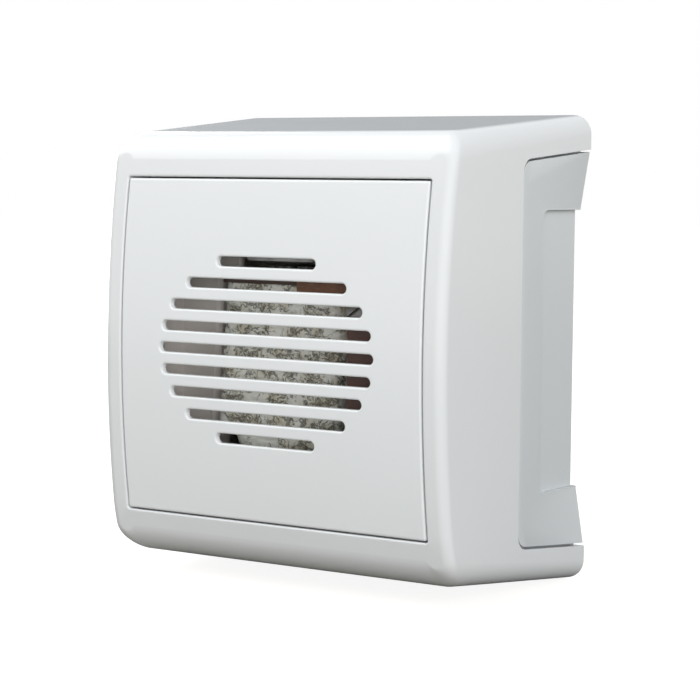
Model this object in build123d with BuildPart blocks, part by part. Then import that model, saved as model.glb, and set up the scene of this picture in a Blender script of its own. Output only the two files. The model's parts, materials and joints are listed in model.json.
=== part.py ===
from build123d import *

import os
from math import cos, pi, sin, sqrt

# Wall-mounted electromagnetic doorbell buzzer, in millimetres
# X runs along the wall, Y into it and Z up; the wall's surface is the plane Y = 0

# Cover frame
DEPTH = 49.2
REAR_W = 83.3
REAR_H = 90.0
FRONT_W = 78.1
FRONT_H = 80.7
CORNER_R = 5.0
BULGE_R = 217.0
EDGE_R = 4.4
SHELL_T = 2.0
FACE_T = 2.2
COLLAR_T = 1.2
COLLAR_REACH = 7.2
NOTCH_REACH = 24.2
NOTCH_HALF = 38.4
NOTCH_R = 2.7
DETENT_W = 8.0
DETENT_H = 0.6
DETENT_X = 18.0
DETENT_Y = -7.0

# Front plate
PLATE_W = 68.2
PLATE_H = 64.2
PLATE_R = 0.8
PLATE_T = 2.0
PLATE_GAP = 0.3
SKIRT_T = 1.4
SKIRT_REACH = 6.6
SLOT_COUNT = 9
SLOT_PITCH = 4.17
SLOT_H = 1.87
GRILLE_W = 48.7
GRILLE_H = 37.6
SLOT_LIP = 0.35
LEG_W = 8.0
LEG_T = 1.0
LEG_X = 20.0
LEG_INSET = 0.1
LEG_PAST = 1.0
LEG_FIT = 0.4

# Back box
BOX_REACH = 36.0
BOX_T = 2.2
BOX_FLOOR_T = 2.0
BOX_GAP_X = 0.4
BOX_GAP_Z = 1.6
REAR_RECESS = 0.6
REAR_RIM = 4.0
PAD_GAP = 0.5
PAD_SINK = 0.3
DISH_Y = -15.6
DISH_HALF = 27.3
DISH_X = 39.5
DISH_FALL_Y = 0.095
DISH_FALL_Z = 0.163
PANEL_X = 38.3
PANEL_MARGIN = 0.5
PANEL_R = 2.2
WALL_SCREW_PITCH = 60.0
WALL_SLOT_W = 4.5
WALL_SLOT_L = 9.0
WALL_PAD = 2.5
CABLE_HOLE_R = 7.0
CABLE_Z = -20.0
GROMMET_BORE_R = 4.0
GROMMET_LIP = 1.6
GROMMET_LIP_T = 0.5
GROMMET_FIT = 0.1

# Tray and its four screws
TRAY_W = 58.0
TRAY_H = 60.4
TRAY_R = 3.0
TRAY_T = 1.6
TRAY_SET_BACK = 5.0
TRAY_DEPTH = 32.2
TRAY_FLOOR_T = 1.5
FLANGE_GAP_X = 1.2
FLANGE_GAP_Z = 0.6
FLANGE_R = 4.0
FLANGE_T = 1.5
POST_REACH = 24.0
POST_R = 3.3
POST_INSET_X = 3.5
POST_INSET_Z = 2.9
POST_RIB_T = 1.2
WIRE_WINDOW_W = 9.0
WIRE_WINDOW_H = 9.0
WIRE_WINDOW_X = 20.0
WIRE_WINDOW_Z = -21.0

# Coil and core
COIL_X = -1.2
COIL_SET_BACK = 16.2
COIL_BOTTOM = -22.4
COIL_H = 36.7
FLANGE_PLATE_T = 1.2
BOBBIN_W = 28.8
BOBBIN_D = 18.8
BOBBIN_R = 2.0
BOBBIN_WALL = 0.8
CORE_W = 10.0
CORE_D = 9.0
CORE_FIT = 0.2
CORE_TOP = 15.7
LAMINATION_PITCH = 1.0
LAMINATION_GROOVE = 0.2
TAPE_INSET_X = 0.5
TAPE_INSET_Y = 0.4
TAPE_R = 3.4
TAPE_T = 0.5
TAPE_FIT = 0.05
RING_T = 0.8
RING_FIT = 0.05
SHEET_T = 0.4

# Yoke, armature and return spring
YOKE_W = 16.0
YOKE_T = 2.0
YOKE_BEND_R = 0.6
YOKE_FRONT_MARGIN = 3.5
YOKE_LEG_GAP = 1.2
EAR_T = 1.5
EAR_D = 4.0
EAR_TOP = 21.6
EAR_BASE = 13.0
ARMATURE_Z = 16.8
ARMATURE_T = 1.5
ARMATURE_LAP = 2.0
ARMATURE_TAIL = 4.8
ARMATURE_SEAT_GAP = 0.2
CHEEK_T = 1.2
CHEEK_GAP = 0.3
PIN_INSET = 0.5
PIN_Z = 19.6
PIN_R = 0.75
PIN_FIT = 0.05
SPRING_R = 1.35
SPRING_WIRE_R = 0.15
SPRING_QUARTERS = 10
SPRING_LEAD_IN = 0.7
SPRING_INSET = 1.7

# Stop arm and its screws
ARM_Z = 22.5
ARM_T = 1.2
ARM_W = 9.0
ARM_PAST = 3.3
ARM_FOOT_W = 20.4
ARM_FOOT_H = 5.9
ARM_BEND_R = 0.5
ADJUST_R = 1.5
ADJUST_OFFSET = 5.5
ADJUST_TIP_GAP = 0.5
ADJUST_TOP = 27.6
THREAD_FIT = 0.05
NUT_FLATS = 5.5
NUT_T = 2.2
NUT_GAP = 0.05

# Terminals
BOARD_T = 1.6
BOARD_GAP = 0.3
BOARD_LEFT = 15.2
BOARD_RIGHT = 27.0
BOARD_BOTTOM = -11.0
BOARD_TOP = 18.5
BRANCH_LEFT = 3.8
BRANCH_BOTTOM = 10.6
BRANCH_TOP = 15.0
BOARD_POST_R = 2.3
BOARD_POSTS = [(24.2, 15.8), (21.5, -7.8)]
TERMINAL_XS = [18.1, 24.2]
TERMINAL_W = 5.4
TERMINAL_D = 8.0
TERMINAL_BOTTOM = 2.4
TERMINAL_TOP = 11.4
WIRE_BORE_R = 1.5
WIRE_BORE_SET_BACK = 4.4
TERMINAL_SCREW_R = 1.5
TERMINAL_SCREW_Z = 8.4
LEAD_R = 0.6
LEAD_BEND_R = 1.6
LEAD_RISE = 3.0
LEAD_INSET = 2.7
LEAD_FORWARD = 3.0
LEAD_SIDE = 3.3
LEAD_BACK = 2.0

# Small screws
SCREW_R = 1.5
SCREW_HEAD_R = 2.6
SCREW_HEAD_H = 1.6
SCREW_SLOT_W = 0.6
SCREW_SLOT_D = 0.8
SCREW_FIT = 0.2
MODULE_SCREW_L = 10.0
BOARD_SCREW_L = 8.0
CORE_SCREW_L = 8.0
TERMINAL_SCREW_L = 5.0
WASHER_R = 3.4
WASHER_T = 1.0
STANDOFF_R = 3.6
YOKE_SCREW_ZS = [-13.0, 7.0]
ARM_SCREW_PITCH = 14.8
ARM_SCREW_DROP = 2.9

# How far a cut runs past the faces it opens
CUT = 1.0

FRONT_PLANE = Plane.XZ.offset(DEPTH)


def at(y):
    """Plane at depth y whose normal points away from the wall."""
    return Plane.XZ.offset(-y)


def span_x(y, inset=0.0):
    return REAR_W + (REAR_W - FRONT_W) * y / DEPTH - 2 * inset


def span_z(y, inset=0.0):
    return REAR_H + (REAR_H - FRONT_H) * y / DEPTH - 2 * inset


def flared(y, inset_x, inset_z, radius):
    """Rounded rectangle of the flared housing at depth y, drawn in from its outside."""
    with BuildSketch(at(y)) as outline:
        RectangleRounded(span_x(y, inset_x), span_z(y, inset_z), radius)
    return outline.sketch


def bulge(radius, front):
    """Disc in the side view whose front follows the bulged face."""
    with BuildSketch(Plane.YZ) as disc:
        with Locations((front + radius, 0)):
            Circle(radius)
    return disc.sketch


def notch(gap):
    """Side cut-out in the side view, open at the wall, whose long edges follow the flare."""
    slope = (REAR_H - FRONT_H) / 2 / DEPTH
    front = gap - NOTCH_REACH
    half_front = NOTCH_HALF + slope * front - gap
    half_rear = NOTCH_HALF + slope * CUT - gap
    with BuildSketch(Plane.YZ) as outline:
        with BuildLine():
            Polyline(
                (front, -half_front),
                (CUT, -half_rear),
                (CUT, half_rear),
                (front, half_front),
                close=True,
            )
        make_face()
        fillet(outline.vertices().group_by(Axis.X)[0], NOTCH_R)
    return outline.sketch


def machine_screws(seat, points, length, shank_r=SCREW_R):
    """Slotted pan-head screws whose heads sit on the seat plane."""
    with BuildPart() as group:
        with BuildSketch(seat):
            with Locations(*points):
                Circle(SCREW_HEAD_R)
        extrude(amount=SCREW_HEAD_H)
        crowns = group.faces().group_by(Axis((0, 0, 0), tuple(seat.z_dir)))[-1]
        fillet(crowns.edges(), 0.4 * SCREW_HEAD_H)
        with BuildSketch(seat):
            with Locations(*points):
                Circle(shank_r)
        extrude(amount=-length)
        with BuildSketch(seat.offset(SCREW_HEAD_H)):
            with Locations(*points):
                Rectangle(2 * SCREW_HEAD_R, SCREW_SLOT_W, rotation=35)
        extrude(amount=-SCREW_SLOT_D, mode=Mode.SUBTRACT)
    return group


os.makedirs("parts", exist_ok=True)

# Box, flange and posts, one inside the other
BOX_INSET_X = SHELL_T + BOX_GAP_X
BOX_INSET_Z = SHELL_T + BOX_GAP_Z
BOX_R = CORNER_R - SHELL_T
FLANGE_FRONT = -POST_REACH - FLANGE_T
FLANGE_W = span_x(FLANGE_FRONT, BOX_INSET_X + BOX_T + FLANGE_GAP_X)
FLANGE_H = span_z(FLANGE_FRONT, BOX_INSET_Z + BOX_T + FLANGE_GAP_Z)
POST_X = FLANGE_W / 2 - POST_INSET_X
POST_Z = FLANGE_H / 2 - POST_INSET_Z
POSTS = [(-POST_X, -POST_Z), (POST_X, -POST_Z), (POST_X, POST_Z), (-POST_X, POST_Z)]

# Depths of the tray and of the mechanism in it, which follow the front
TRAY_FRONT = TRAY_SET_BACK - DEPTH
TRAY_BACK = TRAY_FRONT + TRAY_DEPTH
TRAY_FLOOR = TRAY_BACK - TRAY_FLOOR_T
COIL_Y = COIL_SET_BACK - DEPTH
TAPE_W = BOBBIN_W - 2 * TAPE_INSET_X
TAPE_D = BOBBIN_D - 2 * TAPE_INSET_Y
BOARD_BACK = COIL_Y - BOBBIN_D / 2 - BOARD_GAP
YOKE_FRONT = COIL_Y - CORE_D / 2 - YOKE_FRONT_MARGIN
YOKE_LEG_FRONT = COIL_Y + BOBBIN_D / 2 + SHEET_T + YOKE_LEG_GAP
YOKE_LEG_BACK = YOKE_LEG_FRONT + YOKE_T
PIN_Y = YOKE_LEG_BACK - PIN_INSET
ARMATURE_FRONT = YOKE_FRONT - ARMATURE_LAP
ARMATURE_BACK = YOKE_LEG_BACK + ARMATURE_TAIL
SPRING_Y = ARMATURE_BACK - SPRING_INSET
ADJUST_Y = COIL_Y - ADJUST_OFFSET
ARM_FRONT = ADJUST_Y - ARM_PAST

# Cover frame: a flared shell with a bulged front
SKIRT_BACK = SKIRT_REACH - DEPTH
COLLAR_BACK = COLLAR_REACH - DEPTH
OPENING_W = PLATE_W + 2 * PLATE_GAP
OPENING_H = PLATE_H + 2 * PLATE_GAP
OPENING_R = PLATE_R + PLATE_GAP

with BuildPart() as frame_cavity:
    inner_r = CORNER_R - SHELL_T
    loft([flared(CUT, SHELL_T, SHELL_T, inner_r), flared(-DEPTH, SHELL_T, SHELL_T, inner_r)], ruled=True)
    extrude(bulge(BULGE_R - FACE_T, FACE_T - DEPTH), amount=REAR_W, both=True, mode=Mode.INTERSECT)
    # The collar round the opening is left standing
    with BuildSketch(at(COLLAR_BACK)):
        RectangleRounded(OPENING_W + 2 * COLLAR_T, OPENING_H + 2 * COLLAR_T, OPENING_R + COLLAR_T)
    extrude(amount=COLLAR_REACH, mode=Mode.SUBTRACT)
    # So are the detent ribs inside the top and bottom walls
    for side in (-1, 1):
        rib_z = side * span_z(DETENT_Y, SHELL_T) / 2
        with BuildSketch(Plane.XY.offset(rib_z)):
            with Locations((-DETENT_X, DETENT_Y), (DETENT_X, DETENT_Y)):
                Rectangle(DETENT_W, 2 * DETENT_H)
        extrude(amount=DETENT_H, both=True, mode=Mode.SUBTRACT)

with BuildPart() as cover_frame:
    loft([flared(0, 0, 0, CORNER_R), flared(-DEPTH, 0, 0, CORNER_R)], ruled=True)
    extrude(bulge(BULGE_R, -DEPTH), amount=REAR_W, both=True, mode=Mode.INTERSECT)
    fillet(cover_frame.faces().sort_by(Axis.Y)[0].edges(), EDGE_R)
    add(frame_cavity.part, mode=Mode.SUBTRACT)
    with BuildSketch(at(COLLAR_BACK + CUT)):
        RectangleRounded(OPENING_W, OPENING_H, OPENING_R)
    extrude(amount=COLLAR_REACH + CUT, mode=Mode.SUBTRACT)
    extrude(notch(0), amount=REAR_W, both=True, mode=Mode.SUBTRACT)
cover_frame.part.label = "cover_frame"
export_step(cover_frame.part, "parts/cover_frame.step")

# Front plate: a bulged insert with an oval of nine slots
SKIRT_INNER_W = PLATE_W - 2 * SKIRT_T
SKIRT_INNER_H = PLATE_H - 2 * SKIRT_T
LEG_BACK = LEG_PAST - POST_REACH
LEG_Z = PLATE_H / 2 - LEG_INSET - LEG_T / 2

with BuildPart() as plate_hollow:
    with BuildSketch(at(SKIRT_BACK + CUT)):
        Rectangle(SKIRT_INNER_W, SKIRT_INNER_H)
    extrude(amount=SKIRT_REACH + CUT)
    extrude(bulge(BULGE_R - PLATE_T, PLATE_T - DEPTH), amount=REAR_W, both=True, mode=Mode.INTERSECT)

with BuildPart() as front_plate:
    with BuildSketch(at(SKIRT_BACK)):
        RectangleRounded(PLATE_W, PLATE_H, PLATE_R)
    extrude(amount=SKIRT_REACH)
    extrude(bulge(BULGE_R, -DEPTH), amount=REAR_W, both=True, mode=Mode.INTERSECT)
    fillet(front_plate.faces().sort_by(Axis.Y)[0].edges(), 0.4)
    add(plate_hollow.part, mode=Mode.SUBTRACT)
    with BuildSketch(FRONT_PLANE):
        for row in range(SLOT_COUNT):
            slot_z = (row - (SLOT_COUNT - 1) / 2) * SLOT_PITCH
            with Locations((0, slot_z)):
                SlotOverall(GRILLE_W * sqrt(1 - (2 * slot_z / GRILLE_H) ** 2), SLOT_H)
    extrude(amount=-SKIRT_REACH, mode=Mode.SUBTRACT)
    # Rounded mouths: the wires of the bulged face that bound its slots
    face = front_plate.faces().sort_by(Axis.Y)[0]
    fillet([edge for mouth in face.inner_wires() for edge in mouth.edges()], SLOT_LIP)
    # Four legs reach back to the tray's flange
    with BuildSketch(at(LEG_BACK)):
        for x in (-LEG_X, LEG_X):
            for side in (-1, 1):
                with Locations((x, side * LEG_Z)):
                    Rectangle(LEG_W, LEG_T)
    extrude(amount=LEG_BACK - SKIRT_BACK + CUT)
front_plate.part.label = "front_plate"
export_step(front_plate.part, "parts/front_plate.step")

# Back box: an open box with raised, dished pads that fill the frame's side cut-outs
with BuildPart() as side_pads:
    loft([flared(0, PAD_SINK, 0, CORNER_R), flared(-BOX_REACH, PAD_SINK, 0, CORNER_R)], ruled=True)
    extrude(notch(PAD_GAP), amount=REAR_W, both=True, mode=Mode.INTERSECT)

with BuildPart() as box_cavity:
    back = flared(-BOX_FLOOR_T, BOX_INSET_X + BOX_T, BOX_INSET_Z + BOX_T, BOX_R)
    front = flared(-BOX_REACH - CUT, BOX_INSET_X + BOX_T, BOX_INSET_Z + BOX_T, BOX_R)
    loft([back, front], ruled=True)

with BuildPart() as box_posts:
    back = flared(-REAR_RECESS, BOX_INSET_X + BOX_T / 2, BOX_INSET_Z + BOX_T / 2, BOX_R)
    front = flared(-POST_REACH, BOX_INSET_X + BOX_T / 2, BOX_INSET_Z + BOX_T / 2, BOX_R)
    loft([back, front], ruled=True)
    with BuildSketch(at(-REAR_RECESS)):
        for x, z in POSTS:
            with Locations((x, z)):
                Circle(POST_R)
            with Locations((REAR_W / 2 if x > 0 else -REAR_W / 2, z)):
                Rectangle(REAR_W - 2 * POST_X, POST_RIB_T)
            with Locations((x, REAR_H / 2 if z > 0 else -REAR_H / 2)):
                Rectangle(POST_RIB_T, REAR_H - 2 * POST_Z)
    extrude(amount=POST_REACH - REAR_RECESS, mode=Mode.INTERSECT)

with BuildPart() as back_box:
    back = flared(0, BOX_INSET_X, BOX_INSET_Z, BOX_R)
    front = flared(-BOX_REACH, BOX_INSET_X, BOX_INSET_Z, BOX_R)
    loft([back, front], ruled=True)
    add(side_pads.part)
    add(box_cavity.part, mode=Mode.SUBTRACT)
    # Each pad falls away towards a flat panel, from its front and from its two ends
    dish_run = 2.5
    outer_y = DISH_Y - dish_run / DISH_FALL_Y
    outer_half = DISH_HALF + dish_run / DISH_FALL_Z
    for side in (-1, 1):
        with BuildSketch(Plane.YZ.offset(side * DISH_X)) as inner_edge:
            with Locations(((DISH_Y + CUT) / 2, 0)):
                Rectangle(CUT - DISH_Y, 2 * DISH_HALF)
        with BuildSketch(Plane.YZ.offset(side * (DISH_X + dish_run))) as outer_edge:
            with Locations(((outer_y + CUT) / 2, 0)):
                Rectangle(CUT - outer_y, 2 * outer_half)
        loft([inner_edge.sketch, outer_edge.sketch], ruled=True, mode=Mode.SUBTRACT)
        panel_front = DISH_Y + PANEL_MARGIN
        panel_rear = CUT + PANEL_R
        with BuildSketch(Plane.YZ.offset(side * PANEL_X)):
            with Locations(((panel_front + panel_rear) / 2, 0)):
                RectangleRounded(panel_rear - panel_front, 2 * (DISH_HALF - PANEL_MARGIN), PANEL_R)
        extrude(amount=side * (REAR_W / 2 - PANEL_X), mode=Mode.SUBTRACT)
    # Shallow recess in the back, so that only a rim and two pads meet the wall
    with BuildSketch(at(0)):
        recess_w = span_x(0, BOX_INSET_X + REAR_RIM)
        recess_h = span_z(0, BOX_INSET_Z + REAR_RIM)
        RectangleRounded(recess_w, recess_h, BOX_R)
        with Locations((-WALL_SCREW_PITCH / 2, 0), (WALL_SCREW_PITCH / 2, 0)):
            SlotOverall(WALL_SLOT_L + 2 * WALL_PAD, WALL_SLOT_W + 2 * WALL_PAD, mode=Mode.SUBTRACT)
    extrude(amount=REAR_RECESS, mode=Mode.SUBTRACT)
    # Posts for the tray, each tied to the walls by two ribs
    add(box_posts.part)
    with BuildSketch(at(-BOX_FLOOR_T)):
        with Locations(*POSTS):
            Circle(SCREW_R + THREAD_FIT)
    extrude(amount=POST_REACH, mode=Mode.SUBTRACT)
    # Ridges over which the frame's detent ribs ride
    for side in (-1, 1):
        ridge_y = DETENT_Y - 4 * DETENT_H
        with BuildSketch(Plane.XY.offset(side * span_z(ridge_y, BOX_INSET_Z) / 2)):
            with Locations((-DETENT_X, ridge_y), (DETENT_X, ridge_y)):
                Rectangle(DETENT_W, 2 * DETENT_H)
        extrude(amount=DETENT_H, both=True)
    # Slots for the wall screws and the hole for the cable
    with BuildSketch(at(0)):
        with Locations((-WALL_SCREW_PITCH / 2, 0), (WALL_SCREW_PITCH / 2, 0)):
            SlotOverall(WALL_SLOT_L, WALL_SLOT_W)
        with Locations((0, CABLE_Z)):
            Circle(CABLE_HOLE_R)
    extrude(amount=BOX_FLOOR_T, mode=Mode.SUBTRACT)
back_box.part.label = "back_box"
export_step(back_box.part, "parts/back_box.step")

# Cable grommet: a grooved ring in the back's cable hole
with BuildPart() as cable_grommet:
    lip_r = CABLE_HOLE_R + GROMMET_LIP
    neck_r = CABLE_HOLE_R - GROMMET_FIT
    with BuildSketch(Plane.YZ) as half:
        with BuildLine():
            Polyline(
                (-REAR_RECESS + GROMMET_LIP_T, CABLE_Z + GROMMET_BORE_R),
                (-REAR_RECESS + GROMMET_LIP_T, CABLE_Z + lip_r),
                (-REAR_RECESS, CABLE_Z + lip_r),
                (-REAR_RECESS, CABLE_Z + neck_r),
                (-BOX_FLOOR_T, CABLE_Z + neck_r),
                (-BOX_FLOOR_T, CABLE_Z + lip_r),
                (-BOX_FLOOR_T - 2 * GROMMET_LIP_T, CABLE_Z + lip_r - GROMMET_LIP_T),
                (-BOX_FLOOR_T - 2 * GROMMET_LIP_T, CABLE_Z + GROMMET_BORE_R),
                close=True,
            )
        make_face()
    revolve(axis=Axis((0, 0, CABLE_Z), (0, 1, 0)))
cable_grommet.part.label = "cable_grommet"
export_step(cable_grommet.part, "parts/cable_grommet.step")

# Tray that carries the mechanism on the box's posts
STANDOFF_END = YOKE_LEG_BACK + WASHER_T
ARM_SCREW_Z = ARM_Z + ARM_SCREW_DROP
ARM_SCREWS = [(COIL_X - ARM_SCREW_PITCH / 2, ARM_SCREW_Z), (COIL_X + ARM_SCREW_PITCH / 2, ARM_SCREW_Z)]

with BuildPart() as chassis:
    with BuildSketch(at(TRAY_BACK)):
        RectangleRounded(TRAY_W, TRAY_H, TRAY_R)
    extrude(amount=TRAY_BACK - TRAY_FRONT)
    with BuildSketch(at(-POST_REACH)):
        RectangleRounded(FLANGE_W, FLANGE_H, FLANGE_R)
    extrude(amount=FLANGE_T)
    with BuildSketch(at(TRAY_FLOOR)):
        RectangleRounded(TRAY_W - 2 * TRAY_T, TRAY_H - 2 * TRAY_T, TRAY_R - TRAY_T)
    extrude(amount=DEPTH, mode=Mode.SUBTRACT)
    with BuildSketch(at(-POST_REACH)):
        with Locations(*POSTS):
            Circle(SCREW_R + SCREW_FIT)
        for x in (-LEG_X, LEG_X):
            with Locations((x, -LEG_Z), (x, LEG_Z)):
                Rectangle(LEG_W + 2 * LEG_FIT, LEG_T + 2 * LEG_FIT)
    extrude(amount=FLANGE_T, mode=Mode.SUBTRACT)
    # Standoffs for the yoke and posts for the terminal board
    with BuildSketch(at(TRAY_FLOOR)):
        for z in YOKE_SCREW_ZS:
            with Locations((COIL_X, z)):
                Circle(STANDOFF_R)
    extrude(amount=TRAY_FLOOR - STANDOFF_END)
    with BuildSketch(at(TRAY_FLOOR)):
        with Locations(*BOARD_POSTS):
            Circle(BOARD_POST_R)
    extrude(amount=TRAY_FLOOR - BOARD_BACK)
    with BuildSketch(at(BOARD_BACK)):
        with Locations(*BOARD_POSTS):
            Circle(SCREW_R + THREAD_FIT)
    extrude(amount=-BOARD_SCREW_L, mode=Mode.SUBTRACT)
    with BuildSketch(at(TRAY_BACK)):
        for z in YOKE_SCREW_ZS:
            with Locations((COIL_X, z)):
                Circle(SCREW_R + SCREW_FIT)
        with Locations((WIRE_WINDOW_X, WIRE_WINDOW_Z)):
            Rectangle(WIRE_WINDOW_W, WIRE_WINDOW_H)
    extrude(amount=TRAY_BACK - STANDOFF_END, mode=Mode.SUBTRACT)
    with BuildSketch(at(TRAY_FLOOR)):
        with Locations(*ARM_SCREWS):
            Circle(SCREW_R + THREAD_FIT)
    extrude(amount=-TRAY_FLOOR_T, mode=Mode.SUBTRACT)
    # Screwdriver hole above the adjusting screw
    with BuildSketch(Plane.XY.offset(TRAY_H / 2)):
        with Locations((COIL_X, ADJUST_Y)):
            Circle(ADJUST_R + 1)
    extrude(amount=-TRAY_T, mode=Mode.SUBTRACT)
chassis.part.label = "chassis"
export_step(chassis.part, "parts/chassis.step")

module_screws = machine_screws(at(FLANGE_FRONT), POSTS, FLANGE_T + MODULE_SCREW_L)
module_screws.part.label = "module_screws"
export_step(module_screws.part, "parts/module_screws.step")

# Yoke: a bent strap under and behind the coil, with two ears for the armature's pin
COIL_TOP = COIL_BOTTOM + COIL_H
LEG_TOP = ARMATURE_Z - ARMATURE_SEAT_GAP

with BuildPart() as yoke:
    with BuildSketch(Plane.YZ.offset(COIL_X)) as strap:
        with BuildLine():
            Polyline(
                (YOKE_FRONT, COIL_BOTTOM - YOKE_T),
                (YOKE_LEG_BACK, COIL_BOTTOM - YOKE_T),
                (YOKE_LEG_BACK, LEG_TOP),
                (YOKE_LEG_FRONT, LEG_TOP),
                (YOKE_LEG_FRONT, COIL_BOTTOM),
                (YOKE_FRONT, COIL_BOTTOM),
                close=True,
            )
        make_face()
        fillet(strap.vertices().sort_by_distance((YOKE_LEG_FRONT, COIL_BOTTOM))[0], YOKE_BEND_R)
        fillet(
            strap.vertices().sort_by_distance((YOKE_LEG_BACK, COIL_BOTTOM - YOKE_T))[0],
            YOKE_BEND_R + YOKE_T,
        )
    extrude(amount=YOKE_W / 2, both=True)
    for side in (-1, 1):
        ear_x = COIL_X + side * (YOKE_W - EAR_T) / 2
        with BuildSketch(Plane.YZ.offset(ear_x)) as ear:
            with Locations((PIN_Y, (EAR_BASE + EAR_TOP) / 2)):
                Rectangle(EAR_D, EAR_TOP - EAR_BASE)
            fillet(ear.vertices().group_by(Axis.Y)[-1], EAR_D / 2 - 0.2)
        extrude(amount=EAR_T / 2, both=True)
    with BuildSketch(Plane.YZ.offset(COIL_X)):
        with Locations((PIN_Y, PIN_Z)):
            Circle(PIN_R)
    extrude(amount=YOKE_W, both=True, mode=Mode.SUBTRACT)
    with BuildSketch(Plane.XY.offset(COIL_BOTTOM)):
        with Locations((COIL_X, COIL_Y)):
            Circle(SCREW_R + SCREW_FIT)
    extrude(amount=-YOKE_T, mode=Mode.SUBTRACT)
    with BuildSketch(at(YOKE_LEG_BACK)):
        for z in YOKE_SCREW_ZS:
            with Locations((COIL_X, z)):
                Circle(SCREW_R + THREAD_FIT)
    extrude(amount=YOKE_T, mode=Mode.SUBTRACT)
yoke.part.label = "yoke"
export_step(yoke.part, "parts/yoke.step")

# Laminated core, with a slot in its pole face for the shading ring
with BuildPart() as core_stack:
    with BuildSketch(Plane.XY.offset(COIL_BOTTOM)):
        with Locations((COIL_X, COIL_Y)):
            Rectangle(CORE_W, CORE_D)
    extrude(amount=CORE_TOP - COIL_BOTTOM)
    seams = int(CORE_W / LAMINATION_PITCH) - 1
    with BuildSketch(Plane.XY.offset(CORE_TOP)):
        with Locations((COIL_X, COIL_Y)):
            with GridLocations(LAMINATION_PITCH, CORE_D, seams, 1):
                Rectangle(LAMINATION_GROOVE, CORE_D)
    extrude(amount=-LAMINATION_GROOVE, mode=Mode.SUBTRACT)
    with BuildSketch(Plane.XY.offset(COIL_BOTTOM)):
        with Locations((COIL_X, COIL_Y)):
            with GridLocations(LAMINATION_PITCH, CORE_D, seams, 2):
                Rectangle(LAMINATION_GROOVE, 2 * LAMINATION_GROOVE)
    extrude(amount=CORE_TOP - COIL_BOTTOM, mode=Mode.SUBTRACT)
    with BuildSketch(Plane.XY.offset(COIL_TOP)):
        with Locations((COIL_X, COIL_Y)):
            Rectangle(RING_T + 2 * RING_FIT, CORE_D)
    extrude(amount=CORE_TOP - COIL_TOP, mode=Mode.SUBTRACT)
    with BuildSketch(Plane.XY.offset(COIL_BOTTOM)):
        with Locations((COIL_X, COIL_Y)):
            Circle(SCREW_R + THREAD_FIT)
    extrude(amount=CORE_SCREW_L, mode=Mode.SUBTRACT)
core_stack.part.label = "core_stack"
export_step(core_stack.part, "parts/core_stack.step")

UNDER_YOKE = Plane(origin=(0, 0, COIL_BOTTOM - YOKE_T), x_dir=(1, 0, 0), z_dir=(0, 0, -1))
core_screw = machine_screws(UNDER_YOKE, [(COIL_X, -COIL_Y)], YOKE_T + CORE_SCREW_L - CUT)
core_screw.part.label = "core_screw"
export_step(core_screw.part, "parts/core_screw.step")

# Shading ring: a copper loop round half of the pole
with BuildPart() as shading_ring:
    ring_left = COIL_X - RING_T / 2
    ring_right = COIL_X + CORE_W / 2 + RING_FIT + RING_T
    with BuildSketch(Plane.XY.offset(COIL_TOP)):
        with Locations(((ring_left + ring_right) / 2, COIL_Y)):
            Rectangle(ring_right - ring_left, CORE_D + 2 * (RING_FIT + RING_T))
        with Locations(((ring_left + ring_right) / 2, COIL_Y)):
            Rectangle(ring_right - ring_left - 2 * RING_T, CORE_D + 2 * RING_FIT, mode=Mode.SUBTRACT)
    extrude(amount=RING_T)
shading_ring.part.label = "shading_ring"
export_step(shading_ring.part, "parts/shading_ring.step")

# Bobbin, winding and tape
SLEEVE_W = CORE_W + 2 * (CORE_FIT + BOBBIN_WALL)
SLEEVE_D = CORE_D + 2 * (CORE_FIT + BOBBIN_WALL)
WINDING_BOTTOM = COIL_BOTTOM + FLANGE_PLATE_T
WINDING_H = COIL_H - 2 * FLANGE_PLATE_T

with BuildPart() as bobbin:
    for z in (COIL_BOTTOM, COIL_TOP - FLANGE_PLATE_T):
        with BuildSketch(Plane.XY.offset(z)):
            with Locations((COIL_X, COIL_Y)):
                RectangleRounded(BOBBIN_W, BOBBIN_D, BOBBIN_R)
        extrude(amount=FLANGE_PLATE_T)
    with BuildSketch(Plane.XY.offset(COIL_BOTTOM)):
        with Locations((COIL_X, COIL_Y)):
            Rectangle(SLEEVE_W, SLEEVE_D)
    extrude(amount=COIL_H)
    with BuildSketch(Plane.XY.offset(COIL_BOTTOM)):
        with Locations((COIL_X, COIL_Y)):
            Rectangle(CORE_W + 2 * CORE_FIT, CORE_D + 2 * CORE_FIT)
    extrude(amount=COIL_H, mode=Mode.SUBTRACT)
bobbin.part.label = "bobbin"
export_step(bobbin.part, "parts/bobbin.step")

with BuildPart() as winding:
    with BuildSketch(Plane.XY.offset(WINDING_BOTTOM)):
        with Locations((COIL_X, COIL_Y)):
            cover = TAPE_T + TAPE_FIT
            RectangleRounded(TAPE_W - 2 * cover, TAPE_D - 2 * cover, TAPE_R - cover)
            Rectangle(SLEEVE_W + 2 * TAPE_FIT, SLEEVE_D + 2 * TAPE_FIT, mode=Mode.SUBTRACT)
    extrude(amount=WINDING_H)
winding.part.label = "winding"
export_step(winding.part, "parts/winding.step")

with BuildPart() as coil_tape:
    with BuildSketch(Plane.XY.offset(WINDING_BOTTOM)):
        with Locations((COIL_X, COIL_Y)):
            RectangleRounded(TAPE_W, TAPE_D, TAPE_R)
            RectangleRounded(TAPE_W - 2 * TAPE_T, TAPE_D - 2 * TAPE_T, TAPE_R - TAPE_T, mode=Mode.SUBTRACT)
    extrude(amount=WINDING_H)
coil_tape.part.label = "coil_tape"
export_step(coil_tape.part, "parts/coil_tape.step")

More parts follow.
